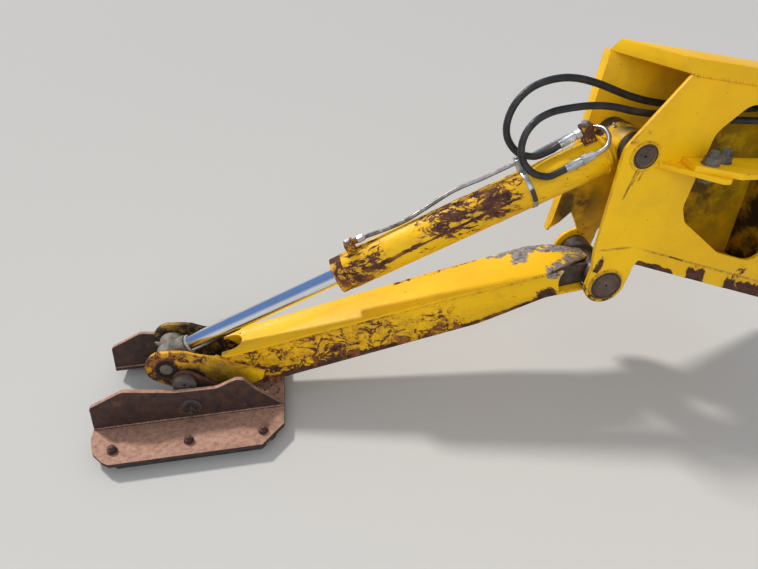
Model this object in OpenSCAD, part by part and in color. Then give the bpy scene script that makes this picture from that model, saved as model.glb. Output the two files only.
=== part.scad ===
// Stabiliser leg of a backhoe loader with the end section of the rear frame that carries it.
// X points inboard, Y forward and Z up. The origin is the centre of the frame section's inboard face.
// The leg stands lowered, its pad level on the ground and its cylinder drawn out.
// Inside the modules X is measured from the leg pivot and Z from the ground, in millimetres.

/* [Linkage] */
// Height of the leg pivot above the ground
pivot_z = 340; // [330:1:350]
// Height of the cylinder's upper pin above the leg pivot
upper_pin_rise = 384; // [370:1:398]
// Distance of the cylinder's upper pin inboard of the leg pivot
upper_pin_inset = 40; // [32:1:48]
// Horizontal distance from the leg pivot out to the rod pin
leg_reach = 1296; // [1270:1:1320]
// Height of the rod pin above the ground
rod_pin_z = 183; // [178:1:190]
// Distance of the pad pin inboard of the rod pin
pad_pin_inset = 46; // [44:1:52]
// Distance of the pad pin below the rod pin
pad_pin_drop = 43; // [42:1:48]

/* [Pins] */
// Diameter of the upper pin
upper_pin_d = 56; // [48:1:60]
// Diameter of the leg pivot pin
leg_pin_d = 60; // [50:1:64]
// Diameter of the rod pin
rod_pin_d = 40; // [34:1:44]
// Diameter of the two short pad pins
pad_pin_d = 40; // [34:1:44]
// Radial clearance of a pin in its bore
pin_fit = 0.05; // [0.02:0.01:0.09]
// Wall of the ring that is welded round a pin's end
ring_wall = 9; // [7:1:11]
// Height of that ring above its plate
ring_h = 4; // [3:0.5:6]

/* [Frame] */
// Distance from the middle of the frame to a plate's outer face
frame_half = 100; // [98:1:104]
// Thickness of the frame plates
frame_t = 12; // [10:1:13]
// Distance that the lower lobes stand out past the plates
flare = 18; // [16:1:22]
// Height of the sloping band between plate and lobe
flare_h = 44; // [38:1:50]
// Distance from the leg pivot to the frame's inboard face
frame_len = 560; // [545:1:600]
// Height of the frame's top face at the near plate's corner
frame_top_z = 958; // [945:1:965]
// Fall of the frame's top towards the middle of the machine
top_fall = 0.20; // [0.15:0.01:0.24]
// Outboard corner of the near plate at the top
near_corner_x = 116; // [105:1:125]
// Outboard corner of the far plate at the top
far_corner_x = -3; // [-12:1:6]
// Fall of the lower bend line towards the middle of the machine
bend_fall = 0.39; // [0.34:0.01:0.42]
// Height of the bend line above the leg pivot, where it starts to fall
bend_rise = 110; // [104:1:118]
// Radius of the plate round the upper pin
upper_lobe_r = 62; // [56:1:66]
// Radius of the lobe round the leg pivot pin
lower_lobe_r = 62; // [58:1:66]
// Corner radius of the window in the near plate
window_r = 45; // [30:1:60]
// Thickness of the plate that closes the frame section
end_plate_t = 12; // [10:1:16]
// Radius of the sleeves beside the cylinder's base eye
sleeve_r = 46; // [40:1:50]

/* [Leg] */
// Half width of the leg's box at its outboard end
box_tip_half = 59; // [57:1:59]
// Half width of the leg's box near the pivot
box_root_half = 83; // [78:1:83]
// Thickness of the leg's side plates
side_t = 10; // [8:1:11]
// Thickness of the leg's top and bottom plates
cover_t = 10; // [8:1:12]
// Outer radius of the pivot hub
hub_r = 46; // [42:1:48]
// Depth of the notch that clears the rod in the top plate
notch_len = 60; // [54:1:70]
// Half width of that notch
notch_half = 34; // [32:1:38]
// Thickness of the fork plates
fork_t = 15; // [12:1:16]
// Radius of the fork's tip round the rod pin
fork_tip_r = 60; // [54:1:62]

/* [Cylinder] */
// Outer diameter of the barrel
barrel_d = 110; // [104:1:112]
// Wall of the barrel
barrel_wall = 10; // [8:1:12]
// Diameter of the rod
rod_d = 50; // [45:1:50]
// Length of rod that shows, from the rod pin to the gland's face
rod_out = 562; // [555:1:580]
// Length of the gland head that stands out of the barrel
gland_len = 34; // [26:1:40]
// Radius of the base eye
base_eye_r = 48; // [44:1:50]
// Width of the base eye
base_eye_w = 80; // [70:1:90]
// Radius of the rod eye
rod_eye_r = 38; // [34:1:38]
// Width of the rod eye
rod_eye_w = 108; // [90:1:109]
// Outer diameter of the steel tube on the barrel
line_d = 12; // [10:1:14]
// Outer diameter of the hoses
hose_d = 19; // [17:1:21]
// Width of the band clamp
band_w = 14; // [10:1:18]

/* [Pad] */
// Height of the pad plate's top above the ground
pad_top_z = 43; // [42:1:46]
// Thickness of the pad plate
pad_t = 12; // [10:1:14]
// Half width of the pad across the machine's travel
pad_half_w = 280; // [270:1:290]
// Distance from the pad pin to the pad's outboard end
pad_out = 275; // [268:1:282]
// Distance from the pad pin to the pad's inboard end
pad_in = 278; // [270:1:284]
// Outer half distance between the pad's ribs
rib_half = 140; // [134:1:146]
// Thickness of the ribs
rib_t = 14; // [12:1:16]
// Thickness of the pin ears beside the fork
ear_t = 14; // [12:1:16]
// Radius of the ears round the pad pin
ear_r = 38; // [34:1:40]
// Gap between an ear and the fork plate beside it
ear_gap = 4; // [3:0.5:6]
// Distance between the bolts along the pad's flange
pad_bolt_pitch = 209; // [200:1:215]
// Distance of the bolt rows from the pad's side edges
pad_bolt_inset = 48; // [44:1:54]

/* [Hidden] */

// Gap left between pieces of different bodies that seat on each other
seat_gap = 0.3;
// A cut runs past the face that it opens by this much
over = 1;

yellow = [0.93, 0.70, 0.05];
steel = [0.62, 0.62, 0.63];
dark = [0.20, 0.17, 0.15];
rusty = [0.42, 0.26, 0.20];
black = [0.06, 0.06, 0.06];

// The two sides of the machine's travel, for pieces that the near and the far side both have
sides = [-1, 1];

// Pins in the side view
leg_pivot = [0, pivot_z];
upper_pin_at = [upper_pin_inset, pivot_z + upper_pin_rise];
rod_pin_at = [-leg_reach, rod_pin_z];
pad_pin_at = rod_pin_at + [pad_pin_inset, -pad_pin_drop];

// The cylinder runs from the rod pin up to the upper pin. Its barrel stops short of the upper pin.
base_setback = 75;
cylinder_len = norm(upper_pin_at - rod_pin_at);
cylinder_tilt = atan2(upper_pin_at[1] - rod_pin_at[1], upper_pin_at[0] - rod_pin_at[0]);
barrel_r = barrel_d / 2;
bore_r = barrel_r - barrel_wall;
rod_r = rod_d / 2;
gland_end = rod_out + gland_len;
barrel_end = cylinder_len - base_setback;

// Frame: inner faces, lobes and the inboard end
frame_in = frame_half - frame_t;
lobe_half = frame_half + flare;
lower_ring_face = lobe_half + ring_h + 2;
plate_end = frame_len - end_plate_t;
// The top plate's edges are folded down over the walls
top_angle = atan(top_fall);
fold_drop = 35;
fold_in = 25;
top_t = 10;
// The walls' lower bend is level as far as here, and then falls
bend_start = 72;
far_bend_x = 5;
floor_t = 10;
floor_start = 130;
function top_z(x) = frame_top_z - top_fall * (x - near_corner_x);
function wall_top_z(x) = top_z(x) - fold_drop / cos(top_angle);
function bend_z(x) = pivot_z + bend_rise - bend_fall * max(0, x - bend_start);
// Where the top plate's outboard edge runs at a place along Y
function edge_x(y) = near_corner_x - (near_corner_x - far_corner_x) * (y + frame_half) / (2 * frame_half);
origin_z = (bend_z(frame_len) - flare_h + top_z(frame_len)) / 2;

// Leg: its box starts inboard of the rod pin and its sides are cut away before the pivot
leg_tip_x = rod_pin_at[0] + 156;
leg_root_x = -105;
// A height over everything on the leg
clear_h = 500;
// Side outline of the box
leg_top_line = [
    // x, z
    [leg_tip_x, rod_pin_z + 7],
    [-480, pivot_z - 18],
    [leg_root_x, pivot_z + 49],
    [-20, pivot_z + 46]];
leg_bottom_line = [
    // x, z
    [leg_tip_x + 103, rod_pin_z - 113],
    [-360, pivot_z - 123],
    [-160, pivot_z - 50],
    [-38, pivot_z - 36]];
fork_in = 60;
fork_end_x = leg_tip_x + 120;
fork_out = fork_in + fork_t;
ring_face = fork_out + ring_h;
// The short pins in the fork start this far outside its inner face
pin_setback = 0.5;
box_taper = (box_root_half - box_tip_half) / (leg_root_x - leg_tip_x);
function box_half(x) = box_tip_half + (x - leg_tip_x) * box_taper;

// Pad: faces between the street pads and the ribs, and the rows of bolts
pad_bolt_row = pad_half_w - pad_bolt_inset;
pad_bottom_z = pad_top_z - pad_t;
rib_in = rib_half - rib_t;
ear_in = fork_out + ear_gap;
ear_out = ear_in + ear_t;

// Points along an arc round c from one angle to another, in n steps
function arc(c, r, a0, a1, n = 10) = [for (i = [0:n])
    let (a = a0 + (a1 - a0) * i / n)
    c + r * [cos(a), sin(a)]];
// Where the line from p touches the circle round c, on the left (1) or the right (-1) of the way to c
function touch(p, c, r, side) =
    let (d = norm(c - p), a = atan2(c[1] - p[1], c[0] - p[0]) + side * asin(r / d))
    p + sqrt(d * d - r * r) * [cos(a), sin(a)];
// Angle at which p is seen from c
function heading(c, p) = atan2(p[1] - c[1], p[0] - c[0]);
// An outline with each corner rounded to its own radius, and left sharp where that is 0
function rounded(pts, radii, n = 5) = [for (i = [0:len(pts) - 1])
    let (p = pts[i],
        r = is_list(radii) ? radii[i] : radii,
        u = unit(pts[(i + len(pts) - 1) % len(pts)] - p),
        v = unit(pts[(i + 1) % len(pts)] - p),
        half = acos(u * v) / 2,
        c = p + unit(u + v) * r / sin(half),
        s = heading(c, p + u * r / tan(half)),
        e = heading(c, p + v * r / tan(half)),
        turn = (e - s > 180) ? e - s - 360 : (e - s < -180) ? e - s + 360 : e - s)
    each (r == 0 ? [p] : arc(c, r, s, s + turn, n))];
function unit(v) = v / norm(v);
function mirrored(pts) = [for (p = pts) [p[0], -p[1]]];
function lifted(pts, by) = [for (p = pts) p + [0, by]];
function backward(pts) = [for (i = [len(pts) - 1:-1:0]) pts[i]];

// Puts the model's own axes at the origin of the finished part
module seated() {
    translate([-frame_len, 0, -origin_z])
        children();
}
// A plate cut to a side outline, between two places along Y
module side_cut(pts, y0, y1) {
    translate([0, y1, 0]) rotate([90, 0, 0])
        linear_extrude(y1 - y0) polygon(pts);
}
// A plate cut to a plan outline, between two heights
module plan_cut(pts, z0, z1) {
    translate([0, 0, z0])
        linear_extrude(z1 - z0) polygon(pts);
}
// A round bar along Y through a point of the side view
module cross_bar(at, r, y0, y1) {
    translate([at[0], y1, at[1]]) rotate([90, 0, 0])
        cylinder(h = y1 - y0, r = r, $fn = 64);
}
// Space on one side of the middle, drawn for the far side
module on_side(side) {
    if (side > 0) children();
    else mirror([0, 1, 0]) children();
}
// Axes of the cylinder: X runs along it from the rod pin, Z stands off its upper side
module on_cylinder() {
    translate([rod_pin_at[0], 0, rod_pin_at[1]]) rotate([0, -cylinder_tilt, 0])
        children();
}
// A round bar along the cylinder
module long_bar(r, x0, x1) {
    translate([x0, 0, 0]) rotate([0, 90, 0])
        cylinder(h = x1 - x0, r = r, $fn = 72);
}

// Direction of a path at its point i
function path_way(p, i) = unit(p[min(i + 1, len(p) - 1)] - p[max(i - 1, 0)]);
// The part of s that stands square to w
function square_to(w, s) = unit(s - w * (s * w));
// Directions square to a path, each carried on from the one before so that the tube doesn't twist
first_side = [0.1, 1, 0.2];
function side_way(p) = [for (
    i = 0, s = unit(cross(path_way(p, 0), first_side));
    i < len(p);
    i = i + 1, s = (i < len(p)) ? square_to(path_way(p, i), s) : s) s];
// A closed solid through rings of points; seen along the way, each ring runs from Y towards Z
module skinned(rings) {
    n = len(rings[0]);
    last = len(rings) - 1;
    walls = [for (i = [0:last - 1]) for (k = [0:n - 1])
        let (a = i * n + k, b = i * n + (k + 1) % n)
        each [[a, a + n, b], [b, a + n, b + n]]];
    ends = [[for (k = [0:n - 1]) k], [for (k = [n - 1:-1:0]) last * n + k]];
    polyhedron(points = [for (ring = rings) each ring], faces = concat(walls, ends));
}
// A tube of a given diameter swept along a list of points
tube_sides = 8;
module swept(p, d) {
    side = side_way(p);
    skinned([for (i = [0:len(p) - 1])
        let (u = side[i], v = cross(path_way(p, i), u))
        [for (k = [0:tube_sides - 1])
            let (a = 360 * k / tube_sides)
            p[i] + d / 2 * (u * cos(a) + v * sin(a))]]);
}
// A smooth curve through the points of a route, with so many steps to each stretch
route_steps = 4;
function curve_at(a, b, c, d, t) =
    0.5 * (2 * b + (c - a) * t + (2 * a - 5 * b + 4 * c - d) * t * t + (3 * b - 3 * c + d - a) * t * t * t);
function smooth(p) = [for (i = [0:len(p) - 2]) for (k = [0:route_steps - (i < len(p) - 2 ? 1 : 0)])
    curve_at(p[max(i - 1, 0)], p[i], p[i + 1], p[min(i + 2, len(p) - 1)], k / route_steps)];

// A profile across the frame, drawn as y and height below the top face, run along under the sloping top
module under_top(profile) {
    translate([near_corner_x, 0, frame_top_z]) rotate([0, top_angle, 0]) rotate([90, 0, 90])
        translate([0, 0, -frame_len]) linear_extrude(2 * frame_len) polygon(profile);
}

// Folded sheet of a frame wall, drawn on the far side: upright, sloping outward under the bend, then
// upright again. It is larger than any wall, and each wall is cut from it.
sheet_up = 700;
sheet_down = 200;
sheet_x = [-300, bend_start, 900];
sheet_profile = [
    // y, height over the bend
    [frame_half, sheet_up],
    [frame_in, sheet_up],
    [frame_in, -3],
    [lobe_half - frame_t, -flare_h],
    [lobe_half - frame_t, -flare_h - sheet_down],
    [lobe_half, -flare_h - sheet_down],
    [lobe_half, -flare_h],
    [frame_half, 0]];
module fold_sheet() {
    skinned([for (x = sheet_x) [for (p = sheet_profile) [x, p[0], bend_z(x) + p[1]]]]);
}
// Frame wall cut to its whole side outline, with its pin bores
module folded_wall(outline) {
    difference() {
        intersection() {
            fold_sheet();
            side_cut(outline, frame_in - over, lobe_half + over);
        }
        cross_bar(leg_pivot, leg_pin_d / 2 + pin_fit, frame_in, lobe_half + 2 * over);
        cross_bar(upper_pin_at, upper_pin_d / 2 + pin_fit, frame_in - 2 * over, lobe_half);
    }
}
// Lower edge of a frame wall from the inboard end out and round the lobe, up to a point over the lobe.
// The wall ends just under its sloping band.
strip_h = flare_h + 4;
strip_end_x = bend_start + 4;
function lower_edge(left) =
    let (right = [strip_end_x, bend_z(strip_end_x) - strip_h],
        a = heading(leg_pivot, touch(left, leg_pivot, lower_lobe_r, -1)),
        b = heading(leg_pivot, touch(right, leg_pivot, lower_lobe_r, 1)))
    concat([[plate_end, bend_z(plate_end) - strip_h], right],
        arc(leg_pivot, lower_lobe_r, b + 360, a > 0 ? a : a + 360, 24));
// Ring round the leg pin's end, drawn on the far side
module lower_ring() {
    difference() {
        cross_bar(leg_pivot, leg_pin_d / 2 + 2 * ring_wall, lobe_half, lower_ring_face);
        cross_bar(leg_pivot, leg_pin_d / 2 + ring_wall + pin_fit, lobe_half - over, lower_ring_face + over);
    }
}
// Ring round the upper pin's end, drawn on the far side
module upper_ring() {
    difference() {
        cross_bar(upper_pin_at, upper_pin_d / 2 + ring_wall, frame_half, frame_half + ring_h);
        cross_bar(upper_pin_at, upper_pin_d / 2 + pin_fit, frame_half - over, frame_half + ring_h + over);
    }
}

module near_plate() {
    low = [-45, bend_z(0)];
    corner = [near_corner_x, wall_top_z(near_corner_x)];
    a = heading(upper_pin_at, touch(low, upper_pin_at, upper_lobe_r, 1));
    b = heading(upper_pin_at, touch(corner, upper_pin_at, upper_lobe_r, -1));
    outline = concat([low], arc(upper_pin_at, upper_lobe_r, a, b),
        [corner, [plate_end, wall_top_z(plate_end)]], lower_edge(low));
    window_end = plate_end - 43;
    window = rounded([[300, 838], [224, 770], [192, 560], [212, 512], [350, 396],
        [window_end, 336], [window_end, 800]],
        [window_r, 60, 60, 30, window_r, window_r, window_r]);
    color(yellow) seated() mirror([0, 1, 0]) {
        difference() {
            folded_wall(outline);
            side_cut(window, frame_in - over, frame_half + over);
        }
        upper_ring();
        lower_ring();
    }
}
module far_plate() {
    // Outboard edge from the top down, with a flange folded outward along it
    corner_x = edge_x(frame_half);
    edge = [[corner_x, wall_top_z(corner_x)], [-34, pivot_z + 404],
        [-77, pivot_z + 192], [-101, pivot_z + 76]];
    flange_t = 8;
    flange_w = 25;
    // The notch over the lobe
    over_lobe = [far_bend_x, bend_z(0) - flare_h];
    notch = [over_lobe, [-35, pivot_z + 139]];
    outline = concat([[plate_end, wall_top_z(plate_end)]], lower_edge(over_lobe), notch, backward(edge));
    color(yellow) seated() {
        folded_wall(outline);
        side_cut(concat(edge, [for (p = backward(edge)) p + [flange_t, 0]]),
            frame_half, frame_half + flange_w);
        upper_ring();
        lower_ring();
    }
}
module top_plate() {
    lip_t = 9;
    side = frame_half + over;
    near_x = edge_x(-side);
    far_x = edge_x(side);
    plan = [[near_x, -side], [plate_end, -side], [plate_end, side], [far_x, side]];
    lip = [[near_x, -side], [near_x + lip_t, -side], [far_x + lip_t, side], [far_x, side]];
    flat_half = frame_half - fold_in;
    inner_half = flat_half - 6;
    outside = [[-frame_half, -fold_drop], [-flat_half, 0], [flat_half, 0], [frame_half, -fold_drop]];
    inside = [[frame_in, -fold_drop], [inner_half, -top_t], [-inner_half, -top_t], [-frame_in, -fold_drop]];
    color(yellow) seated() {
        intersection() {
            under_top(concat(outside, inside));
            plan_cut(plan, pivot_z, pivot_z + frame_top_z);
        }
        intersection() {
            under_top(inside);
            plan_cut(lip, pivot_z, pivot_z + frame_top_z);
        }
    }
}
// Height of the floor plate's upper face at a place along X
function floor_z(x) = bend_z(x) + 4;
module bottom_plate() {
    upper = [[floor_start, floor_z(floor_start)], [plate_end, floor_z(plate_end)]];
    color(yellow) seated()
        side_cut(concat(upper, backward(lifted(upper, -floor_t))), -frame_in, frame_in);
}
// Plate across the inboard end. It stands out past the walls all round, for the weld.
module end_plate() {
    margin = 5;
    wide = lobe_half + margin;
    narrow = frame_half + margin;
    low = bend_z(plate_end) - flare_h;
    high = top_z(plate_end);
    half = [[wide, low - margin], [wide, low + 10], [narrow, low + flare_h + 6], [narrow, high - fold_drop],
        [narrow - fold_in, high + margin]];
    color(yellow) seated() translate([plate_end, 0, 0]) rotate([90, 0, 90]) linear_extrude(end_plate_t)
        polygon(concat(half, [for (p = backward(half)) [-p[0], p[1]]]));
}
// Web across the frame with a round hole through it
module inner_web() {
    x0 = 150;
    x1 = x0 + frame_t;
    top = upper_pin_at[1] - 84;
    hole_r = 42;
    hole_drop = 90;
    color(yellow) seated() difference() {
        side_cut([[x0, floor_z(x0)], [x1, floor_z(x1)], [x1, top], [x0, top]], -frame_in, frame_in);
        translate([x0 - over, 0, top - hole_drop]) rotate([0, 90, 0])
            cylinder(h = frame_t + 2 * over, r = hole_r, $fn = 48);
    }
}
// Lug on the near plate with the keeper bolted on it. Both fall a little towards the middle of the machine.
lug_at = [90, 688];
lug_fall = atan(0.1);
lug_t = 14;
keeper_t = 16;
keeper_top = lug_t + keeper_t;
keeper_end = plate_end - lug_at[0] - 128;
keeper_bolt_at = [[98, -152], [146, -134]];
keeper_bolt_r = 12;
keeper_nut_r = 20;
keeper_nut_h = 20;
keeper_head_h = 15;
module on_lug() {
    translate([lug_at[0], 0, lug_at[1]]) rotate([0, lug_fall, 0])
        children();
}
// Something upright at each of the keeper's bolts, from a height above the lug's underside
module at_keeper_bolts(z) {
    for (p = keeper_bolt_at) translate([p[0], p[1], z])
        children();
}
module lug_plate() {
    corners = [[-8, -frame_half], [108, -214], [128, -212], [172, -150], [172, -frame_half]];
    color(yellow) seated() on_lug() difference() {
        plan_cut(rounded(corners, [0, 10, 10, 12, 0]), 0, lug_t);
        at_keeper_bolts(-over)
            cylinder(h = lug_t + 2 * over, r = keeper_bolt_r + pin_fit, $fn = 32);
    }
}
// The keeper stops just short of the wall
module keeper_plate() {
    wall = -frame_half - 2;
    corners = [[54, wall], [54, -160], [150, -216], [keeper_end, -200], [keeper_end, wall]];
    color(yellow) seated() on_lug() difference() {
        plan_cut(rounded(corners, [0, 5, 10, 10, 0]), lug_t, keeper_top);
        at_keeper_bolts(lug_t - over)
            cylinder(h = keeper_t + 2 * over, r = keeper_bolt_r + pin_fit, $fn = 32);
    }
}
module keeper_bolts() {
    thread_out = 15;
    color(dark) seated() on_lug() {
        at_keeper_bolts(-keeper_head_h) cylinder(h = keeper_head_h, r = keeper_nut_r, $fn = 6);
        at_keeper_bolts(-over)
            cylinder(h = over + keeper_top + keeper_nut_h + thread_out, r = keeper_bolt_r, $fn = 32);
        at_keeper_bolts(keeper_top) cylinder(h = keeper_nut_h, r = keeper_nut_r, $fn = 6);
    }
}
module upper_pin() {
    tip = frame_half + ring_h - 1;
    color(dark) seated() cross_bar(upper_pin_at, upper_pin_d / 2, -tip, tip);
}
module pin_sleeves() {
    color(dark) seated() for (side = sides) on_side(side) difference() {
        cross_bar(upper_pin_at, sleeve_r, base_eye_w / 2 + seat_gap, frame_in);
        cross_bar(upper_pin_at, upper_pin_d / 2 + pin_fit, base_eye_w / 2 - over, frame_in + over);
    }
}
// The leg pin has a collar at each end, inside the ring
module leg_pin() {
    color(dark) seated() {
        cross_bar(leg_pivot, leg_pin_d / 2, -lower_ring_face, lower_ring_face);
        for (side = sides) on_side(side)
            cross_bar(leg_pivot, leg_pin_d / 2 + ring_wall, lobe_half, lower_ring_face);
    }
}
// Ends of the hoses at the end plate
union_len = 34;
union_nut_h = 14;
union_at = [
    // y, z
    [-30, 762],
    [32, 778]];
module hose_unions() {
    color(steel) seated() for (p = union_at)
        translate([plate_end - union_len, p[0], p[1]]) rotate([0, 90, 0]) {
            cylinder(h = union_len, r = hose_d / 2 + 4, $fn = 32);
            translate([0, 0, union_len - union_nut_h]) cylinder(h = union_nut_h, r = hose_d / 2 + 9, $fn = 6);
        }
}

// Leg. Its top and bottom plates lie on the side plates, and both end at the hub.
module leg_hub_space() {
    cross_bar(leg_pivot, hub_r + pin_fit, -lobe_half, lobe_half);
}
// The top plate tapers past the cut-away sides, and its outboard end is notched for the rod
module leg_top() {
    side_outline = concat(leg_top_line, backward(lifted(leg_top_line, -cover_t)));
    notch_arc = arc([leg_tip_x + notch_len - notch_half, 0], notch_half, 90, -90, 12);
    cut_in = leg_root_x - 68;
    near_edge = [[leg_tip_x, -notch_half], [leg_tip_x, -box_tip_half], [cut_in, -box_half(cut_in)],
        [-99, -58], [-18, -22]];
    color(yellow) seated() difference() {
        intersection() {
            side_cut(side_outline, -frame_half, frame_half);
            plan_cut(concat(near_edge, backward(mirrored(near_edge)), notch_arc), 0, clear_h);
        }
        leg_hub_space();
    }
}
module leg_bottom() {
    side_outline = concat(leg_bottom_line, backward(lifted(leg_bottom_line, cover_t)));
    near_edge = [for (p = leg_bottom_line) [p[0], -min(box_half(p[0]), box_root_half)]];
    color(yellow) seated() difference() {
        intersection() {
            side_cut(side_outline, -frame_half, frame_half);
            plan_cut(concat(near_edge, backward(mirrored(near_edge))), 0, clear_h);
        }
        leg_hub_space();
    }
}
// Inside of the box at a place along X: under the top plate and over the bottom plate
function under_cover(x) = lookup(x, leg_top_line) - cover_t;
function over_floor(x) = lookup(x, leg_bottom_line) + cover_t;
// Side plate of the leg on the far side: it follows the taper and is trimmed inside the fork plate.
// Its inboard edge is cut away in an arc, so that the box stands open there.
module leg_side() {
    low = lifted(leg_bottom_line, cover_t);
    high = lifted(leg_top_line, -cover_t);
    top_end = leg_root_x - 10;
    low_end = leg_root_x - 14;
    mouth = arc([leg_root_x + 50, pivot_z], 72, 158, 202, 6);
    outline = concat([high[0], high[1], [top_end, under_cover(top_end)]], mouth,
        [[low_end, over_floor(low_end)], low[2], low[1], low[0]]);
    strip = [[leg_tip_x, box_tip_half], [0, box_half(0)],
        [0, box_half(0) - side_t], [leg_tip_x, box_tip_half - side_t]];
    difference() {
        intersection() {
            side_cut(outline, 0, lobe_half);
            plan_cut(strip, 0, clear_h);
        }
        translate([rod_pin_at[0], fork_in, 0]) cube([fork_end_x - rod_pin_at[0], side_t + fork_t, clear_h]);
    }
}
module leg_near_side() {
    color(yellow) seated() mirror([0, 1, 0]) leg_side();
}
module leg_far_side() {
    color(yellow) seated() leg_side();
}
// Hub on the pivot pin, with the two webs that carry it inside the box
module leg_hub() {
    hub_half = lobe_half - frame_t - 5;
    web_in = 44;
    web_t = 12;
    web_tip_x = -230;
    low = lifted(leg_bottom_line, cover_t);
    high = lifted(leg_top_line, -cover_t);
    outline = [[web_tip_x, 316], high[2], high[3], leg_pivot, low[3], low[2], [web_tip_x, 300]];
    color(rusty) seated() difference() {
        union() {
            cross_bar(leg_pivot, hub_r, -hub_half, hub_half);
            for (side = sides) on_side(side) side_cut(outline, web_in, web_in + web_t);
        }
        cross_bar(leg_pivot, leg_pin_d / 2 + pin_fit, -hub_half - over, hub_half + over);
    }
}
// Fork plate on the far side, with the ring round the rod pin's end
module fork_plate() {
    fork_ring_wall = 10;
    heel_r = 50;
    tip = arc(rod_pin_at, fork_tip_r, 215, 98, 16);
    back = [for (p = [[30, 56], [63, 49], [95, 32], [145, 16], [186, -10]]) rod_pin_at + p];
    end = [[fork_end_x, rod_pin_z - 57], [fork_end_x - 10, rod_pin_z - 84],
        [fork_end_x - 50, rod_pin_z - 100]];
    heel = arc(pad_pin_at, heel_r, 288, 225, 6);
    difference() {
        side_cut(concat(tip, back, end, heel), fork_in, fork_out);
        cross_bar(rod_pin_at, rod_pin_d / 2 + pin_fit, fork_in - over, fork_out + over);
        cross_bar(pad_pin_at, pad_pin_d / 2 + pin_fit, fork_in - over, fork_out + over);
    }
    difference() {
        cross_bar(rod_pin_at, rod_pin_d / 2 + fork_ring_wall, fork_out, ring_face);
        cross_bar(rod_pin_at, rod_pin_d / 2 + pin_fit, fork_out - over, ring_face + over);
    }
}
module near_fork() {
    color(yellow) seated() mirror([0, 1, 0]) fork_plate();
}
module far_fork() {
    color(yellow) seated() fork_plate();
}
// Plate that closes the box behind the notch
module fork_tie() {
    tie_t = 12;
    top = leg_tip_x + notch_len + 6;
    foot = leg_bottom_line[0][0] + 2;
    tie_half = box_tip_half - side_t;
    outline = [[top, under_cover(top)], [top + tie_t, under_cover(top + tie_t)],
        [foot + tie_t, over_floor(foot + tie_t)], [foot, over_floor(foot)]];
    color(yellow) seated() side_cut(outline, -tie_half, tie_half);
}
// The rod pin's two ends in the fork. The length between them is eye_pin, which rides on the rod.
module rod_pin_ends() {
    color(dark) seated() for (side = sides) on_side(side)
        cross_bar(rod_pin_at, rod_pin_d / 2, fork_in + pin_setback, ring_face - 1);
}

// Cylinder barrel and what sits on it
module barrel() {
    color(yellow) seated() on_cylinder() difference() {
        long_bar(barrel_r, gland_end, barrel_end);
        long_bar(bore_r, gland_end - over, barrel_end + over);
    }
}
// Gland head: a collar outside the barrel and a long seat in its bore, which guides the rod
module gland_head() {
    seat = 52;
    color(rusty) seated() on_cylinder() difference() {
        union() {
            long_bar(barrel_r - 2, rod_out, gland_end);
            long_bar(bore_r - pin_fit, gland_end - over, gland_end + seat);
        }
        long_bar(rod_r + pin_fit, rod_out - over, gland_end + seat + over);
    }
}
// Base eye: a cap on the barrel's end, a cone and a neck that runs into the eye
module base_eye() {
    cap = 10;
    cone = 15;
    neck_r = base_eye_w / 2 - 1;
    neck = barrel_end + cap + cone;
    color(yellow) seated() difference() {
        union() {
            on_cylinder() {
                long_bar(barrel_r, barrel_end, barrel_end + cap);
                translate([barrel_end + cap, 0, 0]) rotate([0, 90, 0])
                    cylinder(h = cone, r1 = barrel_r, r2 = neck_r, $fn = 72);
                long_bar(neck_r, neck - over, cylinder_len);
            }
            cross_bar(upper_pin_at, base_eye_r, -base_eye_w / 2, base_eye_w / 2);
        }
        cross_bar(upper_pin_at, upper_pin_d / 2 + pin_fit, -base_eye_w, base_eye_w);
    }
}
// A port block between two places along the barrel, up to a height, with its foot shaped to the barrel
port_y = -14;
port_w = 32;
module port_block(x0, x1, top) {
    foot = barrel_r - 8;
    difference() {
        translate([x0, port_y, foot]) cube([x1 - x0, port_w, top - foot]);
        long_bar(barrel_r + pin_fit, x0 - over, x1 + over);
    }
}
// Port by the gland, with the nut that the steel tube starts from
line_start = [664, 10, 74];
module gland_port() {
    nut_h = 14;
    block_len = 26;
    nut_x = line_start[0] - nut_h;
    color(dark) seated() on_cylinder() {
        port_block(nut_x - block_len, nut_x, line_start[2] + 12);
        translate([nut_x, line_start[1], line_start[2]]) rotate([0, 90, 0])
            cylinder(h = nut_h, r = 10, $fn = 6);
    }
}
// Hose ferrules on the barrel: the point where the steel starts, and how far the ferrule points down
ferrule_len = 62;
upper_ferrule = [cylinder_len - 111, 2, 87];
upper_ferrule_dip = 7;
lower_ferrule = [cylinder_len - 129, -58, 42];
lower_ferrule_dip = 2;
module base_port() {
    x0 = upper_ferrule[0] + 2;
    color(dark) seated() on_cylinder() port_block(x0, x0 + 30, upper_ferrule[2] + 17);
}
module ferrule(at, dip) {
    translate(at) rotate([0, -90 - dip, 0]) {
        cylinder(h = ferrule_len, r = hose_d / 2 + 2.5, $fn = 32);
        cylinder(h = 16, r = hose_d / 2 + 4.5, $fn = 6);
    }
}
module hose_ends() {
    color(steel) seated() on_cylinder() {
        ferrule(upper_ferrule, upper_ferrule_dip);
        ferrule(lower_ferrule, lower_ferrule_dip);
    }
}
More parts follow.
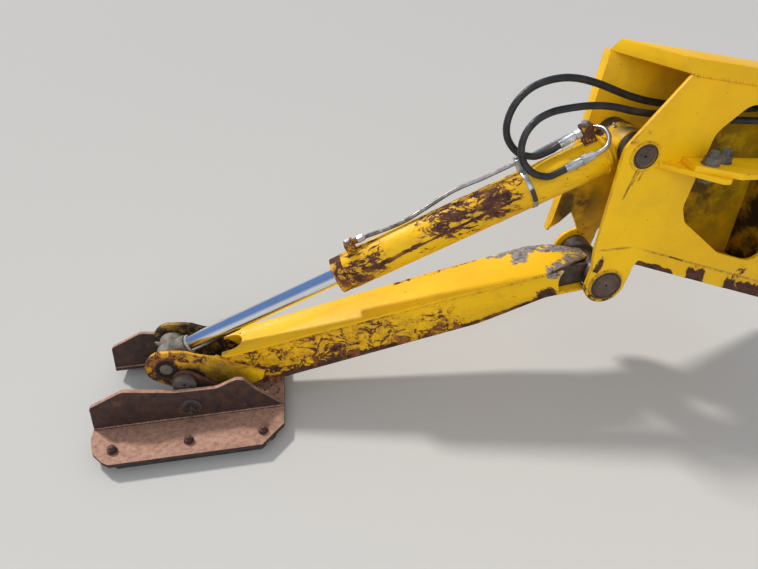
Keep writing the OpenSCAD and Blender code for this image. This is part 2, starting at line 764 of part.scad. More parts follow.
// Band round the barrel with a block on it. The steel tube passes through the block.
clamp_at = 1146;
clamp_bore = [15, 80];
clamp_fit = 0.5;
band_t = 3;
module band_clamp() {
    block_w = 26;
    block_h = 36;
    color(steel) seated() on_cylinder() {
        difference() {
            long_bar(barrel_r + band_t, clamp_at, clamp_at + band_w);
            long_bar(barrel_r + pin_fit, clamp_at - over, clamp_at + band_w + over);
        }
        difference() {
            translate([clamp_at, clamp_bore[0] - block_w / 2, barrel_r + 1]) cube([band_w, block_w, block_h]);
            translate([clamp_at - over, clamp_bore[0], clamp_bore[1]]) rotate([0, 90, 0])
                cylinder(h = band_w + 2 * over, r = line_d / 2 + clamp_fit, $fn = 32);
        }
    }
}
// A place on a ferrule's axis behind it
function behind(at, dip, by) = at + by * [cos(dip), 0, sin(dip)];
// Route of the steel tube: along the barrel, round its end and back to the lower ferrule.
// It is straight at its nuts and through its clamp.
line_route = concat(
    [line_start, [670, 10, 74], [676, 10, 74], [706, 10, 71], [756, 10, 66], [810, 10, 65], [864, 12, 71],
    [964, 14, 84], [1050, 15, 80], [1100, 15, 80], [1130, 15, 80], [1165, 15, 80], [1194, 20, 78],
    [1228, 28, 76], [1290, 36, 74], [1350, 33, 74], [1379, 15, 76], [1390, -12, 72], [1386, -38, 60],
    [1370, -54, 48]],
    [for (by = [34, 16, seat_gap]) behind(lower_ferrule, lower_ferrule_dip, by)]);
module steel_line() {
    color(steel) seated() on_cylinder() swept(smooth(line_route), line_d);
}

// Rod with the piston near its end
rod_start = 62;
piston_at = gland_end + 104;
piston_len = 60;
module rod() {
    rod_past_piston = 10;
    color(steel) seated() on_cylinder() {
        long_bar(rod_r, rod_start, piston_at + piston_len + rod_past_piston);
        long_bar(bore_r - pin_fit, piston_at, piston_at + piston_len);
    }
}
// Rod eye with the socket that the rod is welded in
module rod_eye() {
    color(dark) seated() difference() {
        union() {
            cross_bar(rod_pin_at, rod_eye_r, -rod_eye_w / 2, rod_eye_w / 2);
            on_cylinder() long_bar(rod_r + 7, 0, rod_start);
        }
        cross_bar(rod_pin_at, rod_pin_d / 2 + pin_fit, -rod_eye_w, rod_eye_w);
    }
}
module eye_pin() {
    color(dark) seated() cross_bar(rod_pin_at, rod_pin_d / 2, -rod_eye_w / 2, rod_eye_w / 2);
}

// Pad. Outlines are measured from the pad pin.
module from_pad_pin() {
    translate([pad_pin_at[0], 0, 0])
        children();
}
pad_bolt_x = [for (i = [0:2]) -pad_out + 74 + i * pad_bolt_pitch];
pad_bolt_r = 8;
pad_nut_r = 15;
pad_nut_h = 14;
pad_head_r = 14;
pad_head_h = 10;
pad_head_z = 6;
// Something upright at each place of a bolt in the given rows, from a height above the ground
module at_pad_bolts(rows, z) {
    for (x = pad_bolt_x) for (y = rows) translate([x, y, z])
        children();
}
// Base plate: wide flanges with cut corners, and open at the outboard end as far as the pad pin
notch_end = 58;
notch_r = 40;
module pad_plate() {
    edge = [[-pad_out, rib_in], [-pad_out, rib_half], [-pad_out + 1, rib_half + 39],
        [-pad_out + 19, rib_half + 92], [-pad_out + 52, pad_half_w - 13], [-pad_out + 73, pad_half_w],
        [pad_in - 63, pad_half_w], [pad_in - 2, rib_half + 72], [pad_in, rib_half]];
    notch = arc([notch_end - notch_r, rib_in - notch_r], notch_r, 0, 90, 6);
    outline = concat(edge, backward(mirrored(edge)), backward(mirrored(notch)), notch);
    color(rusty) seated() from_pad_pin() difference() {
        plan_cut(outline, pad_bottom_z, pad_top_z);
        at_pad_bolts([-pad_bolt_row, pad_bolt_row], 0)
            cylinder(h = pad_top_z + over, r = pad_bolt_r + pin_fit, $fn = 32);
    }
}
// Rib with its wavy top edge, drawn on the far side
module pad_rib() {
    corners = [[-pad_out, 0], [11 - pad_out, 84], [-163, 130], [-23, 104], [94, 101], [152, 125], [174, 121],
        [202, 80], [pad_in, 0]];
    outline = rounded(corners, [0, 14, 30, 60, 40, 16, 16, 30, 0]);
    side_cut(lifted(outline, pad_top_z), rib_in, rib_half);
}
module near_rib() {
    color(rusty) seated() from_pad_pin() mirror([0, 1, 0]) pad_rib();
}
module far_rib() {
    color(rusty) seated() from_pad_pin() pad_rib();
}
// Ears on both sides of the fork, each braced to its rib
module pad_ears() {
    foot_l = [pad_pin_at[0] + notch_end + 4, pad_top_z];
    foot_r = foot_l + [100, 0];
    brace = [12, rib_in - ear_out, 58];
    a = heading(pad_pin_at, touch(foot_r, pad_pin_at, ear_r, -1));
    b = heading(pad_pin_at, touch(foot_l, pad_pin_at, ear_r, 1));
    color(dark) seated() for (side = sides) on_side(side) {
        difference() {
            side_cut(concat([foot_l, foot_r], arc(pad_pin_at, ear_r, a, b + 360, 16)), ear_in, ear_out);
            cross_bar(pad_pin_at, pad_pin_d / 2 + pin_fit, ear_in - over, ear_out + over);
        }
        translate([foot_l[0] + 20, ear_out, pad_top_z]) cube(brace);
    }
}
// Two short pins with thick round heads
module pad_pins() {
    head_r = 36;
    head_face = ear_out + 13;
    color(dark) seated() for (side = sides) on_side(side) {
        cross_bar(pad_pin_at, pad_pin_d / 2, fork_in + pin_setback, head_face);
        cross_bar(pad_pin_at, head_r, ear_out, head_face);
    }
}
module pad_bolts() {
    rows = [-pad_bolt_row, pad_bolt_row];
    thread_out = 10;
    shank_z = pad_head_z + 4;
    color(dark) seated() from_pad_pin() {
        at_pad_bolts(rows, pad_head_z) cylinder(h = pad_head_h, r = pad_head_r, $fn = 6);
        at_pad_bolts(rows, shank_z)
            cylinder(h = pad_top_z + pad_nut_h + thread_out - shank_z, r = pad_bolt_r, $fn = 32);
        at_pad_bolts(rows, pad_top_z) cylinder(h = pad_nut_h, r = pad_nut_r, $fn = 6);
    }
}
// Rubber blocks under the flanges, bolted from below. Each bolt's head sits in a pocket.
module street_pads() {
    pocket_r = pad_head_r + 3;
    inner = rib_half + 26;
    outer = pad_half_w - 20;
    corners = [[-pad_out + 60, inner], [-pad_out + 74, outer], [pad_in - 70, outer],
        [pad_in - 30, outer - 40], [pad_in - 30, inner]];
    color(black) seated() from_pad_pin() for (side = sides) on_side(side) difference() {
        plan_cut(rounded(corners, 14), 0, pad_bottom_z);
        at_pad_bolts([pad_bolt_row], -over) {
            cylinder(h = pad_bottom_z + 2 * over, r = pad_bolt_r + pin_fit, $fn = 32);
            cylinder(h = over + pad_head_z + pad_head_h, r = pocket_r, $fn = 32);
        }
    }
}

// Hoses from the ferrules over to the frame. A place on the cylinder's axes is turned to the model's own.
function from_cylinder(p) = [
    rod_pin_at[0] + p[0] * cos(cylinder_tilt) - p[2] * sin(cylinder_tilt),
    p[1],
    rod_pin_at[1] + p[0] * sin(cylinder_tilt) + p[2] * cos(cylinder_tilt)];
// Each hose leaves straight, turns up in an open loop at least four diameters in radius, and goes straight
// into its union
function ferrule_tip(at, dip, more) = from_cylinder(behind(at, dip, -ferrule_len - more));
function out_of_ferrule(at, dip, straight) = [for (by = [seat_gap, 9, straight]) ferrule_tip(at, dip, by)];
function into_union(at) = [for (by = [32, 12, 0]) [plate_end - union_len - by, at[0], at[1]]];
upper_route = concat(
    out_of_ferrule(upper_ferrule, upper_ferrule_dip, 28),
    [[-217, 0, 708], [-265, 1, 723], [-296, 5, 763], [-300, 8, 807], [-281, 11, 853], [-243, 14, 887],
    [-191, 17, 903], [-132, 20, 903], [-62, 24, 884], [42, 27, 842], [136, 29, 816], [300, 31, 790],
    [410, 32, 780]],
    into_union(union_at[1]));
lower_route = concat(
    out_of_ferrule(lower_ferrule, lower_ferrule_dip, 22),
    [[-199, -59, 673], [-238, -56, 684], [-267, -50, 715], [-275, -44, 752], [-264, -37, 789],
    [-236, -29, 817], [-197, -22, 832], [-150, -16, 837], [-90, -12, 838], [-29, -10, 831],
    [48, -12, 812], [120, -16, 800], [300, -25, 776], [410, -29, 765]],
    into_union(union_at[0]));
module upper_hose() {
    color(black) seated() swept(smooth(upper_route), hose_d);
}
module lower_hose() {
    color(black) seated() swept(smooth(lower_route), hose_d);
}

near_plate();
far_plate();
top_plate();
bottom_plate();
end_plate();
inner_web();
lug_plate();
keeper_plate();
keeper_bolts();
upper_pin();
pin_sleeves();
leg_pin();
hose_unions();
leg_top();
leg_bottom();
leg_near_side();
leg_far_side();
leg_hub();
near_fork();
far_fork();
fork_tie();
rod_pin_ends();
pad_pins();
barrel();
gland_head();
base_eye();
gland_port();
base_port();
steel_line();
hose_ends();
band_clamp();
rod();
rod_eye();
eye_pin();
pad_plate();
near_rib();
far_rib();
pad_ears();
pad_bolts();
street_pads();
upper_hose();
lower_hose();
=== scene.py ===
# %% [markdown]
# # A worn stabiliser leg, lowered on its pad
#
# On the real leg a hydraulic cylinder pushes the pad down on the ground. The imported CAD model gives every
# piece its place and size, and could simply be coloured in. This notebook dresses it instead, because real
# plates have rounded edges, welds, nuts and hoses, and years of rust, oil and scratches on their enamel.
# Lengths are in metres unless a comment says millimetres. X points inboard, Y away from the viewer, Z up.

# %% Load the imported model
import bpy
import bmesh
import math
from mathutils import Matrix
from mathutils import Vector


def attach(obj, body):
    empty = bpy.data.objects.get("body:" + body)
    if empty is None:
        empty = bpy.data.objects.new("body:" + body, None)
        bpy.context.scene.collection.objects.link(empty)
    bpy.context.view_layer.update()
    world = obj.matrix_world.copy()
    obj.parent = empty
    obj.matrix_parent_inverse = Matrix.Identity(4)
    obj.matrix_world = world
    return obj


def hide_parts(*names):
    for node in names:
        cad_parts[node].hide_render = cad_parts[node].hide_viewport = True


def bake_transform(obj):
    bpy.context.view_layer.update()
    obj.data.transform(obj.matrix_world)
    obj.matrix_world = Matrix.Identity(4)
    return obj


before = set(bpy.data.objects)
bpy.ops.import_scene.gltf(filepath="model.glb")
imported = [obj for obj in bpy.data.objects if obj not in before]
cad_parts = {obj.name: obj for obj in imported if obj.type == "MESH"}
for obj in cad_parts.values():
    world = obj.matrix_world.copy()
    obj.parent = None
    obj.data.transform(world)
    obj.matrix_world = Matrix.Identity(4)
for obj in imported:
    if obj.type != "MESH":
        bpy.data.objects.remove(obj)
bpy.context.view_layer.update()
print("CAD nodes:", len(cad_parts))

# %% [markdown]
# ## Where things are
#
# The part's source measures X from the leg pivot and Z from the ground, in millimetres. Added pieces could be
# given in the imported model's axes, but then none of their numbers would be found in the source. So helpers
# turn a place of the source, or a place along the cylinder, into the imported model's axes.

# %% Places
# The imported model's origin is the middle of the frame's end face, this far from the pivot and the ground.
PIVOT_TO_FACE = 560.0
FACE_CENTRE_Z = 542.44
GROUND_Z = -FACE_CENTRE_Z / 1000
ROD_PIN = Vector((-1296.0, 0.0, 183.0))
PAD_PIN = Vector((-1250.0, 0.0, 140.0))
UPPER_PIN = Vector((40.0, 0.0, 724.0))
LEG_PIVOT = Vector((0.0, 0.0, 340.0))
CYLINDER_LEN = (UPPER_PIN - ROD_PIN).length
CYLINDER_TILT = math.atan2(UPPER_PIN.z - ROD_PIN.z, UPPER_PIN.x - ROD_PIN.x)
BARREL_R = 55


def at(x, y, z):
    """A place given in the source's millimetres, in the model's metres."""
    return Vector(((x - PIVOT_TO_FACE) / 1000, y / 1000, (z - FACE_CENTRE_Z) / 1000))


def on_cylinder(s, y, h):
    """A place s along the cylinder from the rod pin, y to the far side and h above its axis. Millimetres."""
    x = ROD_PIN.x + s * math.cos(CYLINDER_TILT) - h * math.sin(CYLINDER_TILT)
    z = ROD_PIN.z + s * math.sin(CYLINDER_TILT) + h * math.cos(CYLINDER_TILT)
    return at(x, y, z)


def around_cylinder(s, angle, r):
    """A place s along the cylinder and r from its axis, at an angle from its top towards the viewer."""
    return on_cylinder(s, -r * math.sin(math.radians(angle)), r * math.cos(math.radians(angle)))


CYLINDER_WAY = (on_cylinder(1000, 0, 0) - on_cylinder(0, 0, 0)).normalized()
print("cylinder length between pins:", round(CYLINDER_LEN, 1), "mm")

# %% [markdown]
# ## Materials
#
# A finish could be an image wrapped round the piece, but an image needs a layout for every plate and turns
# coarse up close. So each material is a network of noise on the object's own coordinates, which has detail
# at every distance. This class builds such a network by short calls, one for each kind of node.


# %% Network of nodes
# The Mix node has sockets for every kind of data. These are its colour sockets.
MIX_A = 6
MIX_B = 7
MIX_RESULT = 2


class Network:
    """Builds a node network by short calls that return sockets."""

    def __init__(self, name):
        self.material = bpy.data.materials.new(name)
        self.material.use_nodes = True
        self.nodes = self.material.node_tree.nodes
        self.links = self.material.node_tree.links
        self.nodes.clear()
        self.shader = self.nodes.new("ShaderNodeBsdfPrincipled")
        output = self.nodes.new("ShaderNodeOutputMaterial")
        self.links.new(self.shader.outputs["BSDF"], output.inputs["Surface"])
        self.place = self.nodes.new("ShaderNodeTexCoord").outputs["Object"]

    def feed(self, value, socket):
        """Links a socket to a node's input, or sets that input to a plain value."""
        if isinstance(value, bpy.types.NodeSocket):
            self.links.new(value, socket)
        else:
            socket.default_value = value

    def feed_color(self, value, socket):
        """Feeds a colour, which is a socket or three numbers."""
        self.feed(value if isinstance(value, bpy.types.NodeSocket) else (*value, 1.0), socket)

    def noise(self, scale, detail=4.0, rough=0.55, where=None, distortion=0.0):
        """Soft random blotches, about one over scale metres wide."""
        node = self.nodes.new("ShaderNodeTexNoise")
        node.inputs["Scale"].default_value = scale
        node.inputs["Detail"].default_value = detail
        node.inputs["Roughness"].default_value = rough
        node.inputs["Distortion"].default_value = distortion
        self.links.new(self.place if where is None else where, node.inputs["Vector"])
        return node.outputs["Fac"]

    def stretched(self, scale, turn=(0.0, 0.0, 0.0)):
        """Places turned and scaled, so that a pattern on them is drawn out."""
        node = self.nodes.new("ShaderNodeMapping")
        node.inputs["Rotation"].default_value = turn
        node.inputs["Scale"].default_value = scale
        self.links.new(self.place, node.inputs["Vector"])
        return node.outputs["Vector"]

    def math(self, kind, a, b=0.0, clamp=False):
        """One sum of two numbers, such as ADD or MULTIPLY, kept from 0 to 1 if clamped."""
        node = self.nodes.new("ShaderNodeMath")
        node.operation = kind
        node.use_clamp = clamp
        self.feed(a, node.inputs[0])
        self.feed(b, node.inputs[1])
        return node.outputs[0]

    def vector(self, kind, a, b):
        """One sum of two vectors, such as SUBTRACT or DISTANCE."""
        node = self.nodes.new("ShaderNodeVectorMath")
        node.operation = kind
        self.feed(a, node.inputs[0])
        self.feed(b, node.inputs[1])
        return node.outputs["Value"] if kind in ("DISTANCE", "DOT_PRODUCT") else node.outputs["Vector"]

    def ramp(self, value, low, high, to_low=0.0, to_high=1.0):
        """The value, with low to high spread over to_low to to_high."""
        node = self.nodes.new("ShaderNodeMapRange")
        self.feed(value, node.inputs["Value"])
        node.inputs["From Min"].default_value = low
        node.inputs["From Max"].default_value = high
        node.inputs["To Min"].default_value = to_low
        node.inputs["To Max"].default_value = to_high
        return node.outputs["Result"]

    def blend(self, share, a, b):
        """Colour a where the share is 0, colour b where it is 1."""
        node = self.nodes.new("ShaderNodeMix")
        node.data_type = "RGBA"
        self.feed(share, node.inputs["Factor"])
        self.feed_color(a, node.inputs[MIX_A])
        self.feed_color(b, node.inputs[MIX_B])
        return node.outputs[MIX_RESULT]

    def edges(self, radius):
        """High where the surface turns within the radius, so on edges and in corners."""
        bevel = self.nodes.new("ShaderNodeBevel")
        bevel.samples = 4
        bevel.inputs["Radius"].default_value = radius
        plain = self.nodes.new("ShaderNodeNewGeometry")
        near = self.vector("DOT_PRODUCT", bevel.outputs["Normal"], plain.outputs["Normal"])
        return self.math("SUBTRACT", 1.0, near, True)

    def upward(self):
        """High where the surface faces up."""
        plain = self.nodes.new("ShaderNodeNewGeometry")
        return self.ramp(self.vector("DOT_PRODUCT", plain.outputs["Normal"], (0.0, 0.0, 1.0)), 0.2, 0.9)

    def facing(self, way):
        """1 on faces that look along the given way, 0 on all others."""
        normal = self.nodes.new("ShaderNodeTexCoord").outputs["Normal"]
        return self.ramp(self.vector("DOT_PRODUCT", normal, way), 0.3, 0.6)

    def zones(self, spots):
        """Sum of soft round spots, each given as a centre, a radius and a strength."""
        total = 0.0
        for centre, radius, strength in spots:
            distance = self.vector("DISTANCE", self.place, centre)
            spot = self.ramp(distance, radius * 0.35, radius, strength, 0.0)
            total = spot if isinstance(total, float) else self.math("ADD", total, spot)
        return total

    def strokes(self, lines):
        """Sum of soft narrow strokes, each given by its two ends, a width and a strength."""
        total = 0.0
        for start, end, width, strength in lines:
            way = (end - start).normalized()
            reach = (end - start).length / 2
            offset = self.vector("SUBTRACT", self.place, (start + end) / 2)
            beside = self.vector("DISTANCE", offset, self.vector("PROJECT", offset, way))
            along = self.math("ABSOLUTE", self.vector("DOT_PRODUCT", offset, way))
            core = self.ramp(beside, width * 0.3, width, strength, 0.0)
            stroke = self.math("MULTIPLY", core, self.ramp(along, reach * 0.7, reach, 1.0, 0.0))
            total = stroke if isinstance(total, float) else self.math("ADD", total, stroke)
        return total

    def veins(self, scale, where=None):
        """High along thin branching lines."""
        cloud = self.noise(scale, 6.0, 0.62, where, 0.8)
        from_middle = self.math("ABSOLUTE", self.math("SUBTRACT", cloud, 0.5))
        return self.ramp(from_middle, 0.0, 0.045, 1.0, 0.0)

    def bump(self, height, distance, strength=1.0, normal=None):
        """A surface with its heights raised by up to the distance, in metres."""
        node = self.nodes.new("ShaderNodeBump")
        node.inputs["Strength"].default_value = strength
        node.inputs["Distance"].default_value = distance
        self.links.new(height, node.inputs["Height"])
        if normal is not None:
            self.links.new(normal, node.inputs["Normal"])
        return node.outputs["Normal"]

    def finish(self, color, rough, metal=0.0, normal=None):
        """Feeds the shader and gives back the finished material."""
        self.feed_color(color, self.shader.inputs["Base Color"])
        self.feed(rough, self.shader.inputs["Roughness"])
        self.feed(metal, self.shader.inputs["Metallic"])
        if normal is not None:
            self.links.new(normal, self.shader.inputs["Normal"])
        return self.material


print("network of nodes ready, Blender", bpy.app.version_string)

# %% [markdown]
# ## Worn enamel
#
# The real enamel has chipped off at edges and where things rub, first down to a stained rim and then to rusty
# steel. Two paints on one piece could be parted by a painted mask. Here noise makes the mask: it is raised on
# edges and in zones and strokes placed where the real leg is worn, and steel shows above a limit.

# %% Colours of enamel and rust
RUST_DARK = (0.040, 0.019, 0.015)
RUST_BROWN = (0.125, 0.046, 0.026)
RUST_ORANGE = (0.32, 0.115, 0.026)
ENAMEL = (0.94, 0.55, 0.003)
ENAMEL_DEEP = (0.80, 0.43, 0.003)
STAIN = (0.40, 0.155, 0.012)
GRIME = (0.085, 0.052, 0.028)
# Near black, for old grease and for painted shade.
GREASE_AND_SHADE_BLACK = (0.020, 0.015, 0.012)
BARE_STEEL = (0.42, 0.375, 0.325)


def rust_color(net, orange=0.35):
    """Dark to orange rust, mottled."""
    mottle = net.ramp(net.noise(45.0, 8.0, 0.7), 0.38, 0.62)
    warm = net.ramp(net.noise(16.0, 5.0, 0.6), 0.62 - orange * 0.3, 0.78 - orange * 0.3)
    base = net.blend(mottle, RUST_DARK, RUST_BROWN)
    return net.blend(warm, base, RUST_ORANGE)


print("enamel", ENAMEL, "on rust", RUST_BROWN)

# %% Worn paint
UNWORN_LIMIT = 0.74
LIMIT_FALL = 0.26
EDGE_REACH = 0.006
CHIP_DEPTH = 0.0007
SWELL_DEPTH = 0.002


def worn_paint(name, wear, spots=(), edge=0.55, grain=(1.0, 1.0, 1.0), turn=(0.0, 0.0, 0.0), grime=0.35,
        scraped=(), veins=0.0, lines=(), streaks_and_shade=(), grease_and_shade=(), shaded_side=None, stain=0.0, orange=0.35):
    """Yellow enamel with chips.

    wear, from 0 to about 1, sets how much is gone, and edge how much more goes on edges. Spots and lines add
    wear in places, and veins is the strength of thin cracks. grain and turn draw the pattern out. grime is
    brown dirt all over, and stain widens the brown halo round the chips. Streaks are drawn in rust brown:
    rust that has trickled down, and on the frame also dark lines of painted shade along the walls' bend.
    Scraped spots show bright steel. Black spots are old grease round the pins, and painted shade inside the
    frame, round the base eye and on the forks; where a shaded side is given, they lie on faces towards it
    alone.
    orange is the share of fresh rust.
    """
    net = Network(name)
    place = net.stretched(grain, turn)
    broad = net.noise(5.0, 4.0, 0.5, place)
    patch = net.noise(34.0, 10.0, 0.70, place, 0.4)
    fine = net.noise(170.0, 3.0, 0.5)
    amount = net.math("MULTIPLY", patch, 0.62)
    amount = net.math("ADD", amount, net.math("MULTIPLY", broad, 0.30))
    amount = net.math("ADD", amount, net.math("MULTIPLY", fine, 0.08))
    amount = net.math("ADD", amount, net.math("MULTIPLY", net.edges(EDGE_REACH), edge))
    if spots:
        amount = net.math("ADD", amount, net.zones(spots))
    if lines:
        amount = net.math("ADD", amount, net.strokes(lines))
    if veins > 0:
        cracks = net.math("MULTIPLY", net.veins(16.0, place), veins)
        if spots:
            cracks = net.math("MULTIPLY", cracks, net.ramp(net.zones(spots), 0.0, 0.06, 0.15, 1.0))
        amount = net.math("ADD", amount, cracks)
    amount = net.math("ADD", amount, net.ramp(net.noise(80.0, 2.0, 0.5), 0.68, 0.78, 0.0, 0.16))
    limit = UNWORN_LIMIT - LIMIT_FALL * wear
    chip = net.ramp(amount, limit, limit + 0.012)
    rim = net.ramp(amount, limit - 0.030, limit + 0.004, 0.0, min(0.60, 0.25 + orange))
    halo = net.ramp(amount, limit - 0.08 - 0.06 * stain, limit, 0.0, 0.45 + 0.4 * stain)
    fade = net.ramp(net.noise(3.0, 3.0, 0.5), 0.35, 0.7)
    enamel = net.blend(fade, ENAMEL, ENAMEL_DEEP)
    dirt = net.ramp(net.noise(9.0, 7.0, 0.65, place), 0.48, 0.74, 0.0, grime)
    enamel = net.blend(dirt, enamel, GRIME)
    enamel = net.blend(halo, enamel, STAIN)
    # Streaks in rust brown: trickled rust, and on the frame dark lines of painted shade along the bend.
    if streaks_and_shade:
        streak_and_shade_mask = net.math("MULTIPLY", net.strokes(streaks_and_shade), net.ramp(net.noise(60.0, 4.0), 0.30, 0.60), True)
        enamel = net.blend(streak_and_shade_mask, enamel, RUST_BROWN)
    enamel = net.blend(rim, enamel, RUST_ORANGE)
    color = net.blend(chip, enamel, rust_color(net, orange))
    # Black spots: old grease round the pins, and painted shade inside the frame, round the base eye and on
    # the forks.
    if grease_and_shade:
        grease_and_shade_mask = net.math("MULTIPLY", net.zones(grease_and_shade), net.ramp(net.noise(16.0, 7.0, 0.65), 0.22, 0.55), True)
        if shaded_side:
            grease_and_shade_mask = net.math("MULTIPLY", grease_and_shade_mask, net.facing(shaded_side))
        color = net.blend(grease_and_shade_mask, color, GREASE_AND_SHADE_BLACK)
    rough = net.ramp(net.noise(60.0, 3.0), 0.3, 0.7, 0.38, 0.56)
    rough = net.math("ADD", rough, net.math("MULTIPLY", chip, 0.36), True)
    metal = 0.0
    if scraped:
        bare = net.math("MULTIPLY", net.zones(scraped), net.ramp(net.noise(26.0, 8.0, 0.72), 0.36, 0.60))
        bare = net.ramp(bare, 0.30, 0.42)
        dusty = net.ramp(net.noise(90.0, 6.0, 0.7), 0.34, 0.54)
        color = net.blend(bare, color, net.blend(dusty, RUST_BROWN, BARE_STEEL))
        metal = net.math("MULTIPLY", bare, 0.45)
        rough = net.math("SUBTRACT", rough, net.math("MULTIPLY", bare, 0.10), True)
    height = net.math("SUBTRACT", net.math("MULTIPLY", net.noise(220.0, 3.0), 0.18), chip)
    skin = net.bump(height, CHIP_DEPTH, 0.8)
    skin = net.bump(net.noise(14.0, 3.0), SWELL_DEPTH, 0.25, skin)
    net.shader.inputs["Specular IOR Level"].default_value = 0.26
    return net.finish(color, rough, metal, skin)


def print_made(*materials):
    """Prints the names of new materials."""
    print("made:", ", ".join(material.name for material in materials))


print("chips show at", UNWORN_LIMIT, "on new paint and", round(UNWORN_LIMIT - LIMIT_FALL, 2), "at full wear")

# %% Enamel of the frame
# A spot is a place, a radius in metres and a strength. A line is two ends, a width in metres and a strength.
FRAME_WEAR = [
    (at(-20, -110, 300), 0.13, 0.16),
    (at(20, -105, 790), 0.07, 0.10)]
# Chips along the lower strip, rust that has trickled down from the upper pin, and a dark line along the
# walls' bend that is painted shade in the crease
FRAME_LINES = [
    (at(66, -118, 404), at(215, -118, 350), 0.017, 0.36),
    (at(130, -118, 378), at(160, -118, 366), 0.022, 0.30),
    (at(245, -118, 345), at(325, -118, 316), 0.044, 0.28),
    (at(375, -118, 296), at(560, -118, 222), 0.046, 0.26),
    (at(430, -108, 330), at(470, -108, 312), 0.030, 0.20),
    (at(-44, -118, 382), at(-14, -118, 444), 0.015, 0.27),
    (at(10, -112, 444), at(40, -112, 448), 0.005, 0.26),
    (at(190, -101, 404), at(250, -101, 380), 0.004, 0.26)]
FRAME_RUST_RUNS_AND_BEND_SHADE = [
    (at(30, -101, 698), at(4, -101, 600), 0.0045, 1.0),
    (at(38, -101, 694), at(20, -101, 640), 0.0035, 0.9),
    (at(50, -101, 694), at(36, -101, 652), 0.0040, 0.8),
    # The last two lines are painted shade: a dark line along the walls' bend, where the crease lies in shade.
    (at(-40, -101, 449), at(72, -101, 449), 0.0050, 0.6),
    (at(72, -101, 449), at(556, -101, 261), 0.0050, 0.6)]
FRAME_OIL = [
    (at(40, -103, 724), 0.046, 0.45),
    (at(0, -121, 340), 0.060, 0.55)]
# Painted shade inside the frame box: the far wall's inner face, the end plate's inner face and the web are
# painted black where they lie in shade.
WALL_SHADE = [
    (at(330, 88, 560), 0.34, 0.85),
    (at(-40, 88, 500), 0.11, 0.90)]
END_PLATE_SHADE = [(at(560, 0, 520), 0.75, 1.0)]
WEB_SHADE = [(at(300, 0, 480), 0.70, 1.0)]
OUTBOARD = Vector((-1.0, 0.0, 0.0))
INWARDS = Vector((0.0, -1.0, 0.0))
frame_paint = worn_paint("frame enamel", 0.26, spots=FRAME_WEAR, edge=0.50, grime=0.14, lines=FRAME_LINES,
    streaks_and_shade=FRAME_RUST_RUNS_AND_BEND_SHADE, grease_and_shade=FRAME_OIL, orange=0.02)
# These three are blackened by the painted shade inside the frame.
end_paint = worn_paint("end plate enamel", 0.30, edge=0.50, grime=0.20, grease_and_shade=END_PLATE_SHADE, shaded_side=OUTBOARD)
inner_paint = worn_paint("frame enamel with painted shade", 0.34, edge=0.45, grime=0.30, grease_and_shade=WALL_SHADE, shaded_side=INWARDS)
web_paint = worn_paint("black web enamel", 0.50, edge=0.45, grime=0.60, grease_and_shade=WEB_SHADE)
print_made(frame_paint, end_paint, inner_paint, web_paint)

# %% Enamel of the leg
LEG_WEAR = [
    (at(-1060, -66, 115), 0.16, 0.11),
    (at(-860, -66, 130), 0.15, 0.09),
    (at(-690, -70, 160), 0.16, 0.10),
    (at(-480, -76, 190), 0.12, 0.09),
    (at(-165, -84, 292), 0.042, 0.26),
    (at(-10, -84, 345), 0.060, 0.20)]
LEG_LINES = [
    (at(-1020, -62, 78), at(-560, -74, 176), 0.022, 0.17),
    (at(-480, -76, 188), at(-100, -84, 312), 0.013, 0.20)]
TOP_LINES = [(at(-640, 62, 300), at(-300, 76, 362), 0.020, 0.20)]
SCRAPED = [
    (at(-40, 52, 388), 0.088, 1.0),
    (at(-110, 66, 386), 0.074, 1.0),
    (at(-190, 76, 374), 0.058, 1.0),
    (at(-270, 80, 358), 0.045, 0.9),
    (at(-70, -60, 388), 0.066, 1.0),
    (at(-135, -72, 380), 0.052, 0.85),
    (at(-215, 15, 371), 0.045, 0.70),
    (at(-1136, -48, 192), 0.024, 0.9),
    (at(-1136, 48, 192), 0.030, 1.0)]
PIN_OIL = [
    (at(-1296, -78, 183), 0.040, 2.4),
    (at(-1250, -80, 140), 0.060, 1.6)]
NEAR_EDGE_SCRAPES = SCRAPED[4:6]
FORK_WEAR = [(at(-1320, -75, 183), 0.10, 0.12)]
# The black on the near fork's lower middle is painted shade; the grease at the pins is added to it.
FORK_GREASE_AND_SHADE = [(at(-1170, -66, 120), 0.10, 0.8)] + PIN_OIL
# The far fork is blackened nearly all over: painted shade, with some grease.
FAR_FORK_SHADE_AND_OIL = [(at(-1220, 66, 170), 0.42, 1.0)]
leg_paint = worn_paint("leg enamel", 0.36, spots=LEG_WEAR, edge=0.50, grain=(1.0, 1.0, 1.4), grime=0.30,
    scraped=NEAR_EDGE_SCRAPES, veins=0.16, lines=LEG_LINES, grease_and_shade=PIN_OIL, stain=0.8)
leg_top_paint = worn_paint("leg top enamel", 0.26, edge=0.45, grime=0.15, scraped=SCRAPED, lines=TOP_LINES)
fork_paint = worn_paint("fork enamel", 0.46, spots=FORK_WEAR, edge=0.50, grime=0.55, veins=0.08,
    grease_and_shade=FORK_GREASE_AND_SHADE, stain=1.0)
# Its black is mostly painted shade, with grime and grease.
far_fork_paint = worn_paint("black fork enamel", 0.85, edge=0.40, grime=0.9, grease_and_shade=FAR_FORK_SHADE_AND_OIL)
print_made(leg_paint, leg_top_paint, fork_paint, far_fork_paint)

